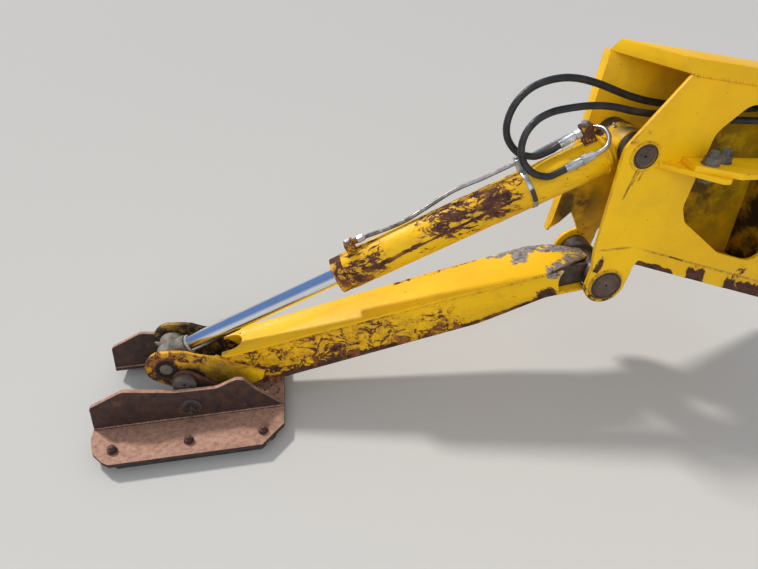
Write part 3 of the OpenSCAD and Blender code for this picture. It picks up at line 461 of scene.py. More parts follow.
# %% Enamel of the cylinder
BARREL_WEAR = [
    (around_cylinder(640, 60, BARREL_R), 0.11, 0.14),
    (around_cylinder(860, 30, BARREL_R), 0.10, 0.09),
    (around_cylinder(980, 25, BARREL_R), 0.12, 0.12),
    (around_cylinder(1080, 18, BARREL_R), 0.09, 0.10),
    (around_cylinder(1300, 60, BARREL_R), 0.12, 0.02)]
BARREL_LINES = [
    (around_cylinder(650, 84, BARREL_R), around_cylinder(830, 78, BARREL_R), 0.009, 0.22),
    (around_cylinder(780, 80, BARREL_R), around_cylinder(1130, 74, BARREL_R), 0.0045, 0.24)]
LENGTHWISE = (0.0, CYLINDER_TILT, 0.0)
# Black on the base eye, which sits between the frame walls under the top plate: grease and painted shade.
BARREL_OIL_AND_SHADE = [(at(60, 30, 752), 0.085, 1.0), (on_cylinder(1450, -30, 60), 0.05, 0.5)]
DRAWN_OUT = (0.62, 1.6, 1.6)
barrel_paint = worn_paint("barrel enamel", 0.42, spots=BARREL_WEAR, edge=0.45, grain=DRAWN_OUT,
    turn=LENGTHWISE, grime=0.28, veins=0.09, lines=BARREL_LINES, grease_and_shade=BARREL_OIL_AND_SHADE)
gland_paint = worn_paint("gland enamel", 1.05, edge=0.30, grime=0.6, veins=0.10, stain=1.0)
print_made(barrel_paint, gland_paint)

# %% [markdown]
# ## Bare steel, plating, chrome and rubber
#
# The pad has no paint left and is matt with rust and dust, pins and castings are dark with grease, and only
# the rod is bright. One grey metal for all would look like plastic. Each gets its own recipe instead, because
# what tells them apart is how rough they are and where the dirt lies.

# %% Rusty, greasy and dusty steel
PALE_RUST = (0.52, 0.285, 0.195)
RUBBED_RUST = (0.20, 0.105, 0.075)
OILED_RUST_AND_SHADE = (0.028, 0.018, 0.015)
GREASE_FILM = (0.020, 0.017, 0.016)
GREASY_DIRT = (0.115, 0.078, 0.058)
CASTING_SHADE = (0.055, 0.045, 0.038)


def rusty_steel(name, dusty=0.3, orange=0.35, dark=0.0):
    """Bare steel that has rusted all over.

    It is paler with dust where it faces up, and rubbed on its edges. dark is the share of near-black rust,
    which is oil on the pins and, on the pad, partly painted shade.
    """
    net = Network(name)
    color = rust_color(net, orange)
    # Near-black rust: oil on the pins; on the pad partly painted shade.
    if dark > 0:
        color = net.blend(dark, color, OILED_RUST_AND_SHADE)
    speckle = net.ramp(net.noise(60.0, 10.0, 0.80), 0.36, 0.60, dusty * 0.40, dusty)
    color = net.blend(net.math("MULTIPLY", net.upward(), speckle), color, PALE_RUST)
    rub = net.ramp(net.edges(0.003), 0.10, 0.45, 0.0, 0.35)
    color = net.blend(rub, color, RUBBED_RUST)
    pits = net.math("ADD", net.noise(90.0, 8.0, 0.75), net.math("MULTIPLY", net.noise(11.0, 3.0), 0.6))
    rough = net.ramp(net.noise(40.0, 5.0), 0.3, 0.7, 0.62, 0.9)
    return net.finish(color, rough, 0.12, net.bump(pits, 0.0016, 0.55))


def greasy_steel(name, shine=0.4):
    """Nearly black steel with a film of grease and some dirt."""
    net = Network(name)
    mottle = net.ramp(net.noise(38.0, 8.0, 0.7), 0.35, 0.68)
    color = net.blend(mottle, GREASE_FILM, GREASY_DIRT)
    rough = net.ramp(net.noise(25.0, 5.0), 0.3, 0.7, shine, shine + 0.35)
    return net.finish(color, rough, 0.35, net.bump(net.noise(70.0, 6.0, 0.7), 0.0008, 0.5))


def dusty_steel(name, tone):
    """Bare casting under grey dust, darker where it has been rubbed."""
    net = Network(name)
    mottle = net.ramp(net.noise(34.0, 8.0, 0.7), 0.34, 0.62)
    color = net.blend(mottle, CASTING_SHADE, tone)
    rust = net.ramp(net.noise(20.0, 6.0, 0.65), 0.60, 0.70, 0.0, 0.6)
    color = net.blend(rust, color, RUST_BROWN)
    return net.finish(color, 0.8, 0.1, net.bump(net.noise(90.0, 6.0, 0.7), 0.001, 0.5))


# The pad's large dark share is partly painted shade, which darkens the pad, most of all the ribs' sides where
# no dust lies.
pad_steel = rusty_steel("pad steel", dusty=0.92, orange=0.05, dark=0.50)
gland_steel = rusty_steel("gland steel", dusty=0.10, orange=0.70)
pin_steel = rusty_steel("pin steel", dusty=0.15, orange=0.20, dark=0.35)
dark_steel = greasy_steel("greasy steel")
eye_steel = dusty_steel("dusty eye", (0.27, 0.235, 0.195))
pin_end_steel = dusty_steel("pin end", (0.17, 0.145, 0.115))
bolt_steel = dusty_steel("bolt steel", (0.20, 0.175, 0.140))
brown_pin_steel = dusty_steel("brown pin", (0.15, 0.092, 0.062))
collar_steel = dusty_steel("rod collar", (0.50, 0.54, 0.44))
print_made(pad_steel, gland_steel, pin_steel, dark_steel, eye_steel, pin_end_steel)
print_made(bolt_steel, brown_pin_steel, collar_steel)

# %% Plating, chrome and rubber
DULL_ZINC = (0.34, 0.33, 0.31)
PALE_ZINC = (0.56, 0.55, 0.53)
TUBE_GRIME = (0.075, 0.052, 0.034)
CLEAN_CHROME = (0.80, 0.82, 0.85)
OILED_CHROME = (0.50, 0.50, 0.48)
ROAD_DUST = (0.20, 0.17, 0.14)


def plated_steel(name, bright=None):
    """Dull zinc-plated steel with specks of rust. Where a bright spot is given, the rest is dirty."""
    net = Network(name)
    specks = net.ramp(net.noise(120.0, 5.0, 0.7), 0.62, 0.70)
    tone = net.blend(net.ramp(net.noise(20.0, 4.0), 0.3, 0.7), DULL_ZINC, PALE_ZINC)
    color = net.blend(net.math("MULTIPLY", specks, 0.7), tone, RUST_BROWN)
    if bright:
        soiled = net.math("SUBTRACT", 1.0, net.zones([bright]), True)
        grime = net.math("MULTIPLY", soiled, net.ramp(net.noise(30.0, 6.0), 0.2, 0.6))
        color = net.blend(net.math("MULTIPLY", grime, 0.95), color, TUBE_GRIME)
    rough = net.ramp(net.noise(50.0, 4.0), 0.3, 0.7, 0.28, 0.50)
    return net.finish(color, rough, 0.85, net.bump(net.noise(130.0, 4.0), 0.0003, 0.4))


def chrome(name):
    """Hard chrome with fine scratches along the rod."""
    net = Network(name)
    lengthwise = net.stretched((1.5, 400.0, 400.0), LENGTHWISE)
    rough = net.ramp(net.noise(4.0, 4.0, 0.6, lengthwise), 0.3, 0.75, 0.06, 0.20)
    smear = net.ramp(net.noise(18.0, 6.0, 0.6), 0.45, 0.75, 0.0, 0.25)
    color = net.blend(smear, CLEAN_CHROME, OILED_CHROME)
    return net.finish(color, rough, 1.0, net.bump(net.noise(6.0, 3.0, 0.5, lengthwise), 0.0001, 0.2))


def rubber(name, tone=0.018, dusty=0.25):
    """Black rubber with a bloom of dust."""
    net = Network(name)
    dust = net.ramp(net.noise(30.0, 7.0, 0.65), 0.42, 0.75, 0.0, dusty)
    color = net.blend(dust, (tone, tone, tone * 1.05), ROAD_DUST)
    rough = net.ramp(net.noise(80.0, 4.0), 0.3, 0.7, 0.36, 0.62)
    return net.finish(color, rough, 0.0, net.bump(net.noise(240.0, 3.0), 0.0003, 0.4))


zinc = plated_steel("zinc plate")
old_tube = plated_steel("old tube", (on_cylinder(1360, -20, 60), 0.52, 1.0))
rod_chrome = chrome("rod chrome")
hose_rubber = rubber("hose rubber", tone=0.010, dusty=0.16)
pad_rubber = rubber("pad rubber", tone=0.022, dusty=0.45)
print_made(zinc, old_tube, rod_chrome, hose_rubber, pad_rubber)

# %% [markdown]
# ## Plates and turned parts from the CAD model
#
# A plate that has been burned out and ground has edges rounded by a millimetre or two, and they catch the
# light. The shader could fake that, but the outline would stay sharp. So each CAD node is copied, its flat
# faces are joined again from triangles, and a Bevel modifier rounds its edges.

# %% Table of pieces
# name: (CAD node, body, material, slot, edge radius in metres)
PIECES = {
    "near_frame_wall": ("near_plate", "frame", frame_paint, "yellow_paint", 0.0016),
    "far_frame_wall": ("far_plate", "frame", inner_paint, "yellow_paint", 0.0016),
    "frame_top": ("top_plate", "frame", frame_paint, "yellow_paint", 0.0020),
    "frame_floor": ("bottom_plate", "frame", inner_paint, "yellow_paint", 0.0012),
    "frame_end_plate": ("end_plate", "frame", end_paint, "yellow_paint", 0.0016),
    "frame_web": ("inner_web", "frame", web_paint, "yellow_paint", 0.0012),
    "lug": ("lug_plate", "frame", frame_paint, "yellow_paint", 0.0020),
    "keeper": ("keeper_plate", "frame", frame_paint, "yellow_paint", 0.0020),
    "upper_pin": ("upper_pin", "frame", pin_steel, "dark_steel", 0.0025),
    "pin_sleeves": ("pin_sleeves", "frame", dark_steel, "dark_steel", 0.0015),
    "leg_pin": ("leg_pin", "frame", pin_steel, "dark_steel", 0.0025),
    "hose_unions": ("hose_unions", "frame", zinc, "plated_steel", 0.0008),
    "leg_top_plate": ("leg_top", "leg", leg_top_paint, "yellow_paint", 0.0020),
    "leg_bottom_plate": ("leg_bottom", "leg", leg_paint, "yellow_paint", 0.0020),
    "leg_near_side": ("leg_near_side", "leg", leg_paint, "yellow_paint", 0.0012),
    "leg_far_side": ("leg_far_side", "leg", leg_paint, "yellow_paint", 0.0012),
    "leg_hub": ("leg_hub", "leg", dark_steel, "rusty_steel", 0.0015),
    "near_fork_plate": ("near_fork", "leg", fork_paint, "yellow_paint", 0.0020),
    "far_fork_plate": ("far_fork", "leg", far_fork_paint, "yellow_paint", 0.0020),
    "box_end_plate": ("fork_tie", "leg", fork_paint, "yellow_paint", 0.0012),
    "rod_pin_ends": ("rod_pin_ends", "leg", pin_steel, "dark_steel", 0.0025),
    "barrel": ("barrel", "barrel", barrel_paint, "yellow_paint", 0.0015),
    "gland_head": ("gland_head", "barrel", gland_paint, "rusty_steel", 0.0020),
    "base_eye": ("base_eye", "barrel", barrel_paint, "yellow_paint", 0.0030),
    "gland_port": ("gland_port", "barrel", gland_paint, "dark_steel", 0.0015),
    "base_port": ("base_port", "barrel", gland_paint, "rusty_steel", 0.0015),
    "band_clamp": ("band_clamp", "barrel", zinc, "plated_steel", 0.0008),
    "rod": ("rod", "rod", rod_chrome, "chrome_rod", 0.0010),
    "rod_eye": ("rod_eye", "rod", eye_steel, "dark_steel", 0.0030),
    "rod_pin_middle": ("eye_pin", "rod", pin_steel, "dark_steel", 0.0015),
    "pad_base": ("pad_plate", "pad", pad_steel, "rusty_steel", 0.0020),
    "near_pad_rib": ("near_rib", "pad", pad_steel, "rusty_steel", 0.0022),
    "far_pad_rib": ("far_rib", "pad", pad_steel, "rusty_steel", 0.0022),
    "pad_ears": ("pad_ears", "pad", pin_steel, "dark_steel", 0.0020),
    "pad_pins": ("pad_pins", "pad", pin_steel, "dark_steel", 0.0030),
    "street_pads": ("street_pads", "pad", pad_rubber, "pad_rubber", 0.0040)}
print("pieces to round:", len(PIECES))

# %% Rounded copies
SAME_POINT = 0.00002
SAME_PLANE = math.radians(0.4)
SHARP_ANGLE = math.radians(38.0)


def into_scene(name, data):
    """A new object in the scene."""
    thing = bpy.data.objects.new(name, data)
    bpy.context.scene.collection.objects.link(thing)
    return thing


def smooth_by_angle(mesh, degrees=32.0):
    """Shades a mesh smooth except across edges sharper than the angle."""
    mesh.shade_smooth()
    mesh.set_sharp_from_angle(angle=math.radians(degrees))


def applied(piece):
    """Turns the result of a piece's modifiers into its mesh."""
    mesh = bpy.data.meshes.new_from_object(piece.evaluated_get(bpy.context.evaluated_depsgraph_get()))
    piece.modifiers.clear()
    piece.data = mesh
    return mesh


def rounded_copy(name, node, edge):
    """The node's solid with its triangles joined and its edges rounded."""
    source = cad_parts[node].data
    mesh = bpy.data.meshes.new(name)
    mesh.from_pydata([v.co for v in source.vertices], [], [list(p.vertices) for p in source.polygons])
    work = bmesh.new()
    work.from_mesh(mesh)
    bmesh.ops.remove_doubles(work, verts=work.verts, dist=SAME_POINT)
    bmesh.ops.dissolve_limit(work, angle_limit=SAME_PLANE, verts=work.verts, edges=work.edges)
    work.to_mesh(mesh)
    work.free()
    piece = into_scene(name, mesh)
    bevel = piece.modifiers.new("rounding", "BEVEL")
    bevel.width = edge
    bevel.segments = 2
    bevel.limit_method = "ANGLE"
    bevel.angle_limit = SHARP_ANGLE
    bevel.use_clamp_overlap = True
    smooth_by_angle(applied(piece))
    return piece


faces = 0
for title, (node, body, material, slot, edge) in PIECES.items():
    piece = rounded_copy(title, node, edge)
    piece.data.materials.clear()
    piece.data.materials.append(material)
    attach(piece, body)
    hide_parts(node)
    faces += len(piece.data.polygons)
print("rounded pieces have", faces, "faces")

# %% [markdown]
# ## Tubes and hoses
#
# A bent steel tube feeds oil along the barrel, and two rubber hoses bring it from the frame in open loops. A
# curve with a bevel would draw them too, but only a mesh can be bent afterwards. So each is a circle swept
# along a smooth line through a few chosen points. The tube rides on the barrel; the hoses stay fixed in
# place.


# %% Sweeping tools
def smooth_line(points, steps):
    """Points of a curve that passes through the given points, with the given number of steps between them."""
    line = []
    last = len(points) - 1
    for i in range(last):
        a = points[max(i - 1, 0)]
        b = points[i]
        c = points[i + 1]
        d = points[min(i + 2, last)]
        for k in range(steps):
            t = k / steps
            line.append(0.5 * (2 * b + (c - a) * t + (2 * a - 5 * b + 4 * c - d) * t * t
                + (3 * b - 3 * c + d - a) * t * t * t))
    line.append(points[last])
    return line


def line_length(line):
    """Length of a line of points."""
    return sum((b - a).length for a, b in zip(line, line[1:]))


def new_object(name, verts, faces, material, angle=40.0):
    """A piece from plain vertices and faces, shaded smooth up to an angle."""
    mesh = bpy.data.meshes.new(name)
    mesh.from_pydata(verts, [], faces)
    mesh.validate()
    mesh.materials.append(material)
    smooth_by_angle(mesh, angle)
    return into_scene(name, mesh)


def swept(name, line, radius, sides, material):
    """A closed tube along the line. The radius is a number or a function of the point's index."""
    verts = []
    faces = []
    side = None
    for i, here in enumerate(line):
        way = (line[min(i + 1, len(line) - 1)] - line[max(i - 1, 0)]).normalized()
        if side is None:
            side = way.cross(Vector((0.1, 1.0, 0.2))).normalized()
        side = (side - way * side.dot(way)).normalized()
        up = way.cross(side)
        r = radius(i) if callable(radius) else radius
        for k in range(sides):
            angle = 2 * math.pi * k / sides
            verts.append(here + (side * math.cos(angle) + up * math.sin(angle)) * r)
    for i in range(len(line) - 1):
        for k in range(sides):
            a = i * sides + k
            b = i * sides + (k + 1) % sides
            faces.append((a, b, b + sides, a + sides))
    faces.append(tuple(reversed(range(sides))))
    faces.append(tuple((len(line) - 1) * sides + k for k in range(sides)))
    return new_object(name, verts, faces, material)


# %% Steel tube
# Where a ferrule's foot is on the cylinder, in millimetres, and how many degrees its tip dips.
UPPER_FERRULE = (CYLINDER_LEN - 111, 2, 87, 7)
LOWER_FERRULE = (CYLINDER_LEN - 129, -58, 42, 2)
TUBE_R = 0.006


def behind(s, y, h, dip, by):
    """A place on a ferrule's axis, some millimetres behind it, as a place on the cylinder."""
    return (s + by * math.cos(math.radians(dip)), y, h + by * math.sin(math.radians(dip)))


LINE_ROUTE = [
    (664, 10, 74), (670, 10, 74), (676, 10, 74), (706, 10, 71), (756, 10, 66), (810, 10, 65), (864, 12, 71),
    (964, 14, 84), (1050, 15, 80), (1100, 15, 80), (1130, 15, 80), (1165, 15, 80), (1194, 20, 78),
    (1228, 28, 76), (1290, 36, 74), (1350, 33, 74), (1379, 15, 76), (1390, -12, 72), (1386, -38, 60),
    (1370, -54, 48)]
LINE_ROUTE += [behind(*LOWER_FERRULE, by) for by in (34, 16, 0)]
tube_line = smooth_line([on_cylinder(*p) for p in LINE_ROUTE], 6)
steel_tube = swept("steel_tube", tube_line, TUBE_R, 20, old_tube)
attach(steel_tube, "barrel")
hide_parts("steel_line")
print("steel tube is", round(line_length(tube_line), 3), "m long")

# %% Hoses
FERRULE_LEN = 62.0
END_PLATE = 12
UNION_LEN = 34
UNION_X = PIVOT_TO_FACE - END_PLATE - UNION_LEN


def ferrule_tip(s, y, h, dip, more):
    """A place straight out of a ferrule, more millimetres beyond its tip, in the model's metres."""
    reach = FERRULE_LEN + more
    return on_cylinder(s - reach * math.cos(math.radians(dip)), y, h - reach * math.sin(math.radians(dip)))


UPPER_ROUTE = [
    (-217, 0, 708), (-265, 1, 723), (-296, 5, 763), (-300, 8, 807), (-281, 11, 853), (-243, 14, 887),
    (-191, 17, 903), (-132, 20, 903), (-62, 24, 884), (42, 27, 842), (136, 29, 816), (300, 31, 790),
    (410, 32, 780)]
LOWER_ROUTE = [
    (-199, -59, 673), (-238, -56, 684), (-267, -50, 715), (-275, -44, 752), (-264, -37, 789),
    (-236, -29, 817), (-197, -22, 832), (-150, -16, 837), (-90, -12, 838), (-29, -10, 831), (48, -12, 812),
    (120, -16, 800), (300, -25, 776), (410, -29, 765)]
HOSE_D = 0.019
HOSE_STEPS = 8
# name: (ferrule, millimetres that it runs straight, route, y and z of its union)
HOSES = {
    "upper_hose": (UPPER_FERRULE, 28, UPPER_ROUTE, (32, 778)),
    "lower_hose": (LOWER_FERRULE, 22, LOWER_ROUTE, (-30, 762))}
for title, (ferrule, straight, route, union) in HOSES.items():
    start = [ferrule_tip(*ferrule, by) for by in (0, 9, straight)]
    into_union = [at(UNION_X - by, *union) for by in (32, 12, 0)]
    hose_line = smooth_line(start + [at(*p) for p in route] + into_union, HOSE_STEPS)
    hose = swept(title, hose_line, HOSE_D / 2, 24, hose_rubber)
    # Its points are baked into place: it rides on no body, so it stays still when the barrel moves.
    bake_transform(hose)
    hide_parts(title)

# %% [markdown]
# ## Welds
#
# A weld laid by hand is a row of overlapping ripples along a seam. A bump on a plain bead would have to
# follow each seam's own direction. A Geometry Nodes tree does that by itself: it walks along a path and puts
# a small stretched ball at every step, a little larger or smaller each time.


# %% Tools for node trees
def node_tree(name, inputs):
    """An empty Geometry Nodes tree with named inputs, its input node and its output node."""
    tree = bpy.data.node_groups.new(name, "GeometryNodeTree")
    for title, kind in inputs:
        tree.interface.new_socket(name=title, in_out="INPUT", socket_type=kind)
    tree.interface.new_socket(name="Geometry", in_out="OUTPUT", socket_type="NodeSocketGeometry")
    return tree, tree.nodes.new("NodeGroupInput"), tree.nodes.new("NodeGroupOutput")


def join(tree, joints):
    """Links nodes. Each joint is a node, its output, the next node and its input."""
    for giver, output, taker, entry in joints:
        tree.links.new(giver.outputs[output], taker.inputs[entry])


def made_by(tree, piece, values):
    """Turns the piece into what the tree makes from it."""
    modifier = piece.modifiers.new(tree.name, "NODES")
    modifier.node_group = tree
    for item in tree.interface.items_tree:
        if item.in_out == "INPUT" and item.name in values:
            modifier[item.identifier] = values[item.name]
    applied(piece)
    print(piece.name, "has", len(piece.data.polygons), "faces")


# Sockets by number, for nodes whose sockets share a name. The last three are the Random Value node's.
FIRST = 0
SECOND = 1
LEAST = 2
MOST = 3
RANDOM_NUMBER = 1

# %% Weld tree
RIPPLE_PER_STEP = 2.1
WELD_STEP = 0.0042
WELD_SETTINGS = [
    ("Path", "NodeSocketGeometry"),
    ("Step", "NodeSocketFloat"),
    ("Width", "NodeSocketFloat"),
    ("Seed", "NodeSocketInt"),
    ("Finish", "NodeSocketMaterial")]
weld_nodes, source, result = node_tree("weld bead", WELD_SETTINGS)
curve = weld_nodes.nodes.new("GeometryNodeMeshToCurve")
steps = weld_nodes.nodes.new("GeometryNodeResampleCurve")
steps.mode = "LENGTH"
ripple = weld_nodes.nodes.new("GeometryNodeMeshUVSphere")
ripple.inputs["Segments"].default_value = 8
ripple.inputs["Rings"].default_value = 5
ripple.inputs["Radius"].default_value = 0.5
tangent = weld_nodes.nodes.new("GeometryNodeInputTangent")
along = weld_nodes.nodes.new("FunctionNodeAlignRotationToVector")
along.axis = "X"
uneven = weld_nodes.nodes.new("FunctionNodeRandomValue")
uneven.inputs[LEAST].default_value = 0.82
uneven.inputs[MOST].default_value = 1.18
stretch = weld_nodes.nodes.new("ShaderNodeMath")
stretch.operation = "MULTIPLY"
stretch.inputs[SECOND].default_value = RIPPLE_PER_STEP
size = weld_nodes.nodes.new("ShaderNodeCombineXYZ")
vary = weld_nodes.nodes.new("ShaderNodeVectorMath")
vary.operation = "SCALE"
lay = weld_nodes.nodes.new("GeometryNodeInstanceOnPoints")
real = weld_nodes.nodes.new("GeometryNodeRealizeInstances")
soft = weld_nodes.nodes.new("GeometryNodeSetShadeSmooth")
finish = weld_nodes.nodes.new("GeometryNodeSetMaterial")
join(weld_nodes, [
    (source, "Path", curve, "Mesh"),
    (curve, "Curve", steps, "Curve"),
    (source, "Step", steps, "Length"),
    (steps, "Curve", lay, "Points"),
    (ripple, "Mesh", lay, "Instance"),
    (tangent, "Tangent", along, "Vector"),
    (along, "Rotation", lay, "Rotation"),
    (source, "Seed", uneven, "Seed"),
    (source, "Step", stretch, FIRST),
    (stretch, FIRST, size, "X"),
    (source, "Width", size, "Y"),
    (source, "Width", size, "Z"),
    (size, "Vector", vary, FIRST),
    (uneven, RANDOM_NUMBER, vary, "Scale"),
    (vary, "Vector", lay, "Scale"),
    (lay, "Instances", real, "Geometry"),
    (real, "Geometry", soft, "Geometry"),
    (soft, "Geometry", finish, "Geometry"),
    (source, "Finish", finish, "Material"),
    (finish, "Geometry", result, FIRST)])


def weld(name, body, material, width, paths):
    """Weld beads of one width along open paths (lists of points) and closed ones (tuples of points)."""
    verts = []
    edges = []
    for path in paths:
        first = len(verts)
        verts += [tuple(p) for p in path]
        edges += [(first + i, first + i + 1) for i in range(len(path) - 1)]
        if isinstance(path, tuple):
            edges.append((len(verts) - 1, first))
    mesh = bpy.data.meshes.new(name)
    mesh.from_pydata(verts, edges, [])
    bead = into_scene(name, mesh)
    made_by(weld_nodes, bead, {"Step": WELD_STEP, "Width": width, "Seed": len(name), "Finish": material})
    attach(bead, body)


# %% Welds of the frame
SIDES = (-1, 1)


def ring(centre, r, y):
    """A circle of the side view, as a closed path. Millimetres."""
    turns = [math.radians(10 * k) for k in range(36)]
    return tuple(at(centre.x + r * math.cos(a), y, centre.z + r * math.sin(a)) for a in turns)


def on_lug(x, y, z):
    """A place on the lug, which falls one in ten towards the middle of the machine."""
    fall = math.atan(0.1)
    return at(90 + x * math.cos(fall) + z * math.sin(fall), y, 688 - x * math.sin(fall) + z * math.cos(fall))


def frame_top(x):
    """Height of the frame's top plate."""
    return 958 - 0.2 * (x - 116)


def bend(x):
    """Height of the walls' bend line, level as far as x = 72."""
    return 450 - 0.39 * max(0.0, x - 72)


# A weld's path is a millimetre out from the faces that it joins. Millimetres from the middle.
WALL_Y = 101
STRIP_Y = 119
WALL_INSIDE_Y = 87
FOLD_Y = 100.5
FRAME_END = 548
FOLD_DROP = 36
WEB_FACES = (149, 163)
WEB_SEAM = (430, 640)
UPPER_RING_R = 38
LEG_RING_R = 49
PLATE_BEAD = 0.0065
frame_paths = [ring(UPPER_PIN, UPPER_RING_R, side * WALL_Y) for side in SIDES]
frame_paths += [ring(LEG_PIVOT, LEG_RING_R, side * STRIP_Y) for side in SIDES]
for height, end in ((-1, 172), (15, 54)):
    frame_paths.append([on_lug(x, -WALL_Y, height) for x in (-8, end)])
frame_paths.append([at(x, -FOLD_Y, frame_top(x) - FOLD_DROP) for x in (122, FRAME_END)])
END_HEIGHTS = (frame_top(FRAME_END) - FOLD_DROP, bend(FRAME_END) + 2)
for side in SIDES:
    frame_paths.append([at(FRAME_END - 1, side * WALL_Y, z) for z in END_HEIGHTS])
for x in WEB_FACES:
    for side in SIDES:
        frame_paths.append([at(x, side * WALL_INSIDE_Y, z) for z in WEB_SEAM])
weld("frame_welds", "frame", frame_paint, PLATE_BEAD, frame_paths)

# %% Welds of the leg
LEG_TOP = [(-1134, 190), (-480, 322), (-180, 379)]
LEG_LOW = [(-1030, 70), (-360, 217), (-165, 287)]
FORK_EDGE = [(-1151, 199), (-1110, 173), (-1019, 126), (-1029, 99), (-1069, 83)]


def box_half(x):
    """Half the width of the leg's box, which widens towards the pivot."""
    return 59 + (x + 1140) * 24 / 1035


leg_paths = []
for side in SIDES:
    leg_paths.append([at(x, side * box_half(x), z - 10) for x, z in LEG_TOP])
    leg_paths.append([at(x, side * box_half(x), z + 10) for x, z in LEG_LOW])
    leg_paths.append([at(x, side * (box_half(x) + 2), z) for x, z in FORK_EDGE])
weld("leg_welds", "leg", leg_paint, PLATE_BEAD, leg_paths)


# %% Welds of the cylinder and the pad
def ring_on_cylinder(s, r):
    """A circle round the cylinder's axis, as a closed path. Millimetres."""
    return tuple(around_cylinder(s, 10 * k, r) for k in range(36))


base_rings = [ring_on_cylinder(1367, BARREL_R + 0.5), ring_on_cylinder(1392, 41)]
weld("cylinder_welds", "barrel", barrel_paint, 0.0075, base_rings)
port_foot = []
for s, y in ((1331, -15), (1363, -15), (1363, 19), (1331, 19)):
    port_foot.append(on_cylinder(s, y, math.sqrt(BARREL_R ** 2 - y ** 2) + 1))
weld("port_welds", "barrel", gland_steel, 0.005, [tuple(port_foot)])
weld("rod_eye_weld", "rod", dark_steel, 0.006, [ring_on_cylinder(63, 27)])

# Ribs and ears are welded to the pad's plate on both faces. Each seam runs from one x to another at its y.
PAD_TOP = 43
PAD_SEAMS = ((-1520, -976, 141), (-1520, -1200, 125), (-1186, -1090, 78), (-1186, -1090, 94))
pad_paths = []
for side in SIDES:
    for first, last, y in PAD_SEAMS:
        pad_paths.append([at(x, side * y, PAD_TOP + 1) for x in (first, last)])
weld("pad_welds", "pad", pad_steel, 0.008, pad_paths)

# %% [markdown]
# ## Nuts, bolts and fittings
#
# Bolts and nuts hold the keeper, the pad and the hoses. A six-sided cylinder would lack the curved chamfer
# that marks a real nut. So everything turned or hexagonal is a profile spun about its own axis. A hexagon is
# a circle whose radius changes with the angle, and cutting it back to a circle at its ends gives the chamfer.


# %% Turned parts
def turned(parts, sides=48):
    """Vertices and faces of turned parts. Each part is a profile of (height, radius), a place and a way.

    A profile that ends where it starts makes a ring. Any other profile is closed by a flat face at both ends.
    """
    verts = []
    faces = []
    for profile, place, way in parts:
        way = Vector(way).normalized()
        side = way.orthogonal().normalized()
        over = way.cross(side)
        first = len(verts)
        is_ring = profile[0] == profile[-1]
        rows = profile[:-1] if is_ring else profile
        for height, radius in rows:
            for k in range(sides):
                angle = 2 * math.pi * k / sides
                h = height(angle) if callable(height) else height
                r = radius(angle) if callable(radius) else radius
                verts.append(Vector(place) + way * h + (side * math.cos(angle) + over * math.sin(angle)) * r)
        for i in range(len(profile) - 1):
            for k in range(sides):
                low = first + i * sides
                high = first + (i + 1) % len(rows) * sides
                following = (k + 1) % sides
                faces.append((low + k, low + following, high + following, high + k))
        if not is_ring:
            faces.append(tuple(first + k for k in reversed(range(sides))))
            faces.append(tuple(first + (len(rows) - 1) * sides + k for k in range(sides)))
    return verts, faces


def turned_piece(name, parts, body, material, replaces=(), sides=48):
    """A piece of turned parts that rides on a body and stands for the named CAD nodes."""
    verts, faces = turned(parts, sides)
    piece = new_object(name, verts, faces, material, 34.0)
    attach(piece, body)
    for node in replaces:
        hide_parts(node)
    print(name, "has", len(faces), "faces")


# %% Bolts of the keeper
CHAMFER_SLOPE = 0.5774


def hexagon(corner):
    """Radius of a hexagon by angle, from its corner radius."""
    flat = corner * math.cos(math.pi / 6)
    return lambda angle: flat / math.cos((angle + math.pi / 6) % (math.pi / 3) - math.pi / 6)


def nut_profile(corner, height):
    """A nut or bolt head: a hexagon with its corners cut back to a circle at both ends, at 30 degrees."""
    around = hexagon(corner)
    circle = corner * 0.90
    drop = lambda angle: max(0.0, around(angle) - circle) * CHAMFER_SLOPE
    return [(0.0, circle), (drop, around), (lambda angle: height - drop(angle), around), (height, circle)]


def round_bar(r, length):
    """A plain pin, shank or washer."""
    return [(0.0, r), (length, r)]


def thread_profile(r, length, pitch=0.0022):
    """A threaded end, as rings of ridges with a chamfered tip."""
    rings = [(0.0, r)]
    z = 0.0
    while z + pitch < length - 0.002:
        rings += [(z + pitch * 0.25, r), (z + pitch * 0.6, r - 0.0009), (z + pitch, r)]
        z += pitch
    return rings + [(length - 0.0015, r), (length, r - 0.002)]


KEEPER_BOLTS = [(98, -152), (146, -134)]
lug_up = (on_lug(0, 0, 1) - on_lug(0, 0, 0)).normalized()
keeper_parts = []
for x, y in KEEPER_BOLTS:
    keeper_parts.append((round_bar(0.022, 0.0035), on_lug(x, y, 30), lug_up))
    keeper_parts.append((nut_profile(0.020, 0.0175), on_lug(x, y, 33), lug_up))
    keeper_parts.append((thread_profile(0.012, 0.0180), on_lug(x, y, 48), lug_up))
    keeper_parts.append((nut_profile(0.020, 0.015), on_lug(x, y, 0), -lug_up))
    keeper_parts.append((round_bar(0.012, 0.030), on_lug(x, y, 0), lug_up))
turned_piece("keeper_nuts_and_bolts", keeper_parts, "frame", bolt_steel, ["keeper_bolts"])

